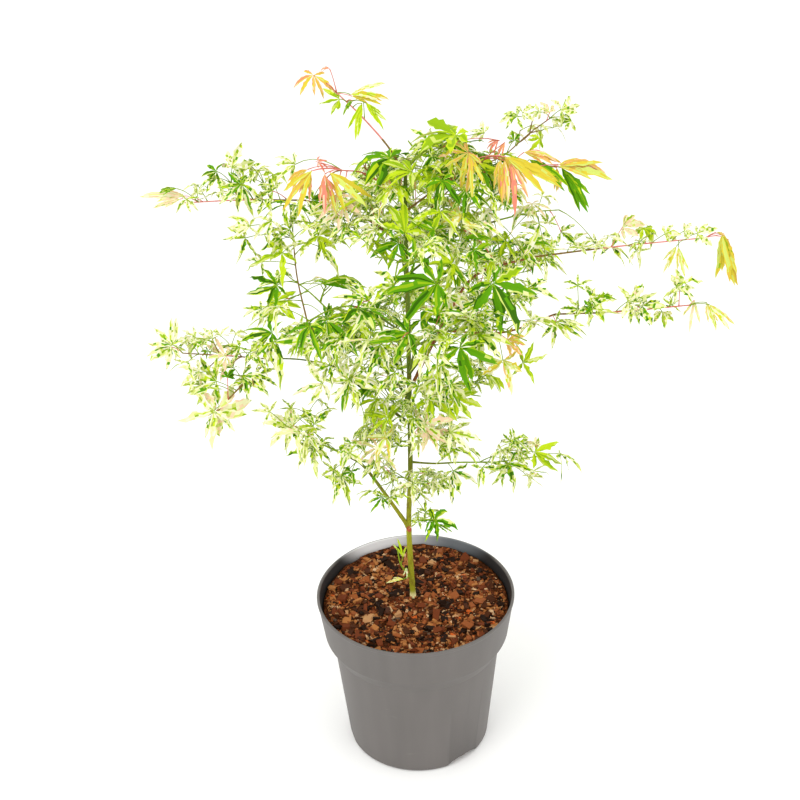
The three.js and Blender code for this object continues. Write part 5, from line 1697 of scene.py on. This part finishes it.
# %% Twigs of one mass
TWIG_COLOURS = {
    "green_shoot": (122, 146, 34),
    "brown_shoot": (122, 96, 46),
    "red_shoot": (184, 98, 80),
    "pink_shoot": (206, 126, 118),
}
TWIG_TINT = {name: i for i, name in enumerate(TWIG_COLOURS)}
TWIG_MATERIALS = [plain_finish(name, rgb) for name, rgb in TWIG_COLOURS.items()]
GREEN_STEM = ("green_shoot", "green_shoot")
STEM_TINTS = {
    "right_long": ("brown_shoot", "pink_shoot"), "upper_left": ("brown_shoot", "pink_shoot"),
    "right_lower": ("brown_shoot", "red_shoot"), "top_left": ("brown_shoot", "pink_shoot"),
    "crown_left": ("brown_shoot", "red_shoot"), "crown_right": ("brown_shoot", "red_shoot"),
    "left_upright": ("brown_shoot", "brown_shoot"), "left_tip": ("brown_shoot", "brown_shoot"),
    "left_drop": ("brown_shoot", "brown_shoot"), "upper_right": ("brown_shoot", "brown_shoot"),
}
STALK_TINT = {"apricot": "red_shoot", "salmon": "red_shoot", "gold": "pink_shoot", "blush": "pink_shoot"}
RED_STALKS = 0.12
FAR_FROM = 0.4
STEM_PITCH, STEM_SIDES, STEM_TIP = 2.5, 8, 0.5
STEM_FOOT_ON_TRUNK, STEM_FOOT_SHARE, STEM_NODE_SWELL = 0.9, 0.98, 0.18
TWIG_STATIONS, TWIG_SIDES, TWIG_ARCH = 6, 6, (-0.04, 0.08)
STALK_SIDES, STALK_ARCH = 5, (0.02, 0.14)
STALK_RADII = np.array([0.62, 0.42, 0.36, 0.34, 0.36, 0.45])


def arched(starts, ends, rise, stations):
    """Curves between two points: a parabola of the share of the way, up by the rise at its middle."""
    share = np.linspace(0, 1, stations)[None, :, None]
    line = starts[:, None] * (1 - share) + ends[:, None] * share
    return line + UP * (4 * share * (1 - share)) * rise[:, None, None]


class Bundle:
    """Tubes gathered into one piece. Every tube has a tint, and one of them may change to another tint."""

    def __init__(self):
        self.points, self.quads, self.triangles = [], [], []
        self.quad_tints, self.triangle_tints = [], []
        self.count = 0

    def add(self, routes, radii, sides, tints, far_tint=None):
        """Adds swept tubes. far_tint colours the faces past FAR_FROM of their length."""
        points, walls, ends = sweep(routes, radii, sides)
        self.points.append(points)
        self.quads.append(walls + self.count)
        self.triangles.append(ends + self.count)
        self.count += len(points)
        wall_tints = np.repeat(tints, len(walls) // len(routes))
        if far_tint is not None:
            wall_tints[int(len(walls) * FAR_FROM):] = far_tint
        self.quad_tints.append(wall_tints)
        self.triangle_tints.append(np.repeat(tints, len(ends) // len(routes)))

    def piece(self, name, materials):
        faces = [np.vstack(self.quads), np.vstack(self.triangles)]
        slots = np.concatenate([*self.quad_tints, *self.triangle_tints])
        return add_piece(name, np.vstack(self.points), faces, materials, slots)


def stem_radius(mass, share):
    """Taper from the bough's tip radius, or a set one on the trunk, with a swelling at each node."""
    bearer_tip = limb_radii(mass.spec["on"])[1]
    foot = STEM_FOOT_ON_TRUNK if "foot" in mass.spec else STEM_FOOT_SHARE * bearer_tip
    nodes = np.cos(share * mass.stem.length / NODE_PITCH * 4 * np.pi) ** 8
    return (foot + (STEM_TIP - foot) * share) * (1 + STEM_NODE_SWELL * nodes)


def make_twigs(mass):
    """The stem, side twigs and leaf stalks of one mass."""
    chance = np.random.default_rng(mass.spec["seed"] + 900)
    bundle = Bundle()
    near_tint, far_tint = (TWIG_TINT[tint] for tint in STEM_TINTS.get(mass.name, GREEN_STEM))
    share = np.linspace(0, 1, max(8, round(mass.stem.length / STEM_PITCH)))
    bundle.add(mass.stem.at(share)[None], stem_radius(mass, share)[None], STEM_SIDES, [near_tint], far_tint)
    if mass.twigs:
        start, end, thick, thin = (np.array(column) for column in zip(*mass.twigs))
        rise = chance.uniform(*TWIG_ARCH, len(start)) * np.linalg.norm(end - start, axis=1)
        routes = arched(start, end, rise, TWIG_STATIONS)
        radii = thick[:, None] + (thin - thick)[:, None] * np.linspace(0, 1, TWIG_STATIONS)
        bundle.add(routes, radii, TWIG_SIDES, np.full(len(start), near_tint))
    base = np.array([leaf["base"] for leaf in mass.leaves])
    palm = np.array([leaf["palm"] for leaf in mass.leaves])
    rise = chance.uniform(*STALK_ARCH, len(base)) * np.linalg.norm(palm - base, axis=1)
    radii = STALK_RADII * np.ones((len(base), 1))
    redden = chance.random(len(base)) < RED_STALKS
    usual = [TWIG_TINT[STALK_TINT.get(leaf["kind"], "green_shoot")] for leaf in mass.leaves]
    tints = np.where(redden, TWIG_TINT["red_shoot"], usual)
    bundle.add(arched(base, palm, rise, len(STALK_RADII)), radii, STALK_SIDES, tints)
    piece = bundle.piece(f"{mass.name}_twigs", TWIG_MATERIALS)
    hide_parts(f"{mass.name}_foliage")


def make_leaves(mass):
    """The blades of one mass. Returns how many triangles they have."""
    chance = np.random.default_rng(mass.spec["seed"] + 700)
    for leaf in mass.leaves:
        usual = SHAPE_OF.get(leaf["kind"], mass.spec["shapes"])
        leaf["family"] = leaf.get("family") or chance.choice(usual)
    points, faces, slots, ribs = leaf_blades(mass.leaves, chance)
    piece = add_piece(f"{mass.name}_leaves", points, faces, LEAF_MATERIALS, slots, creased=ribs)
    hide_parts(f"{mass.name}_foliage")
    return sum(len(f) * (f.shape[1] - 2) for f in faces)


triangles = 0
for mass in MASSES.values():
    make_twigs(mass)
    triangles += make_leaves(mass)
print("triangles of the blades:", triangles)
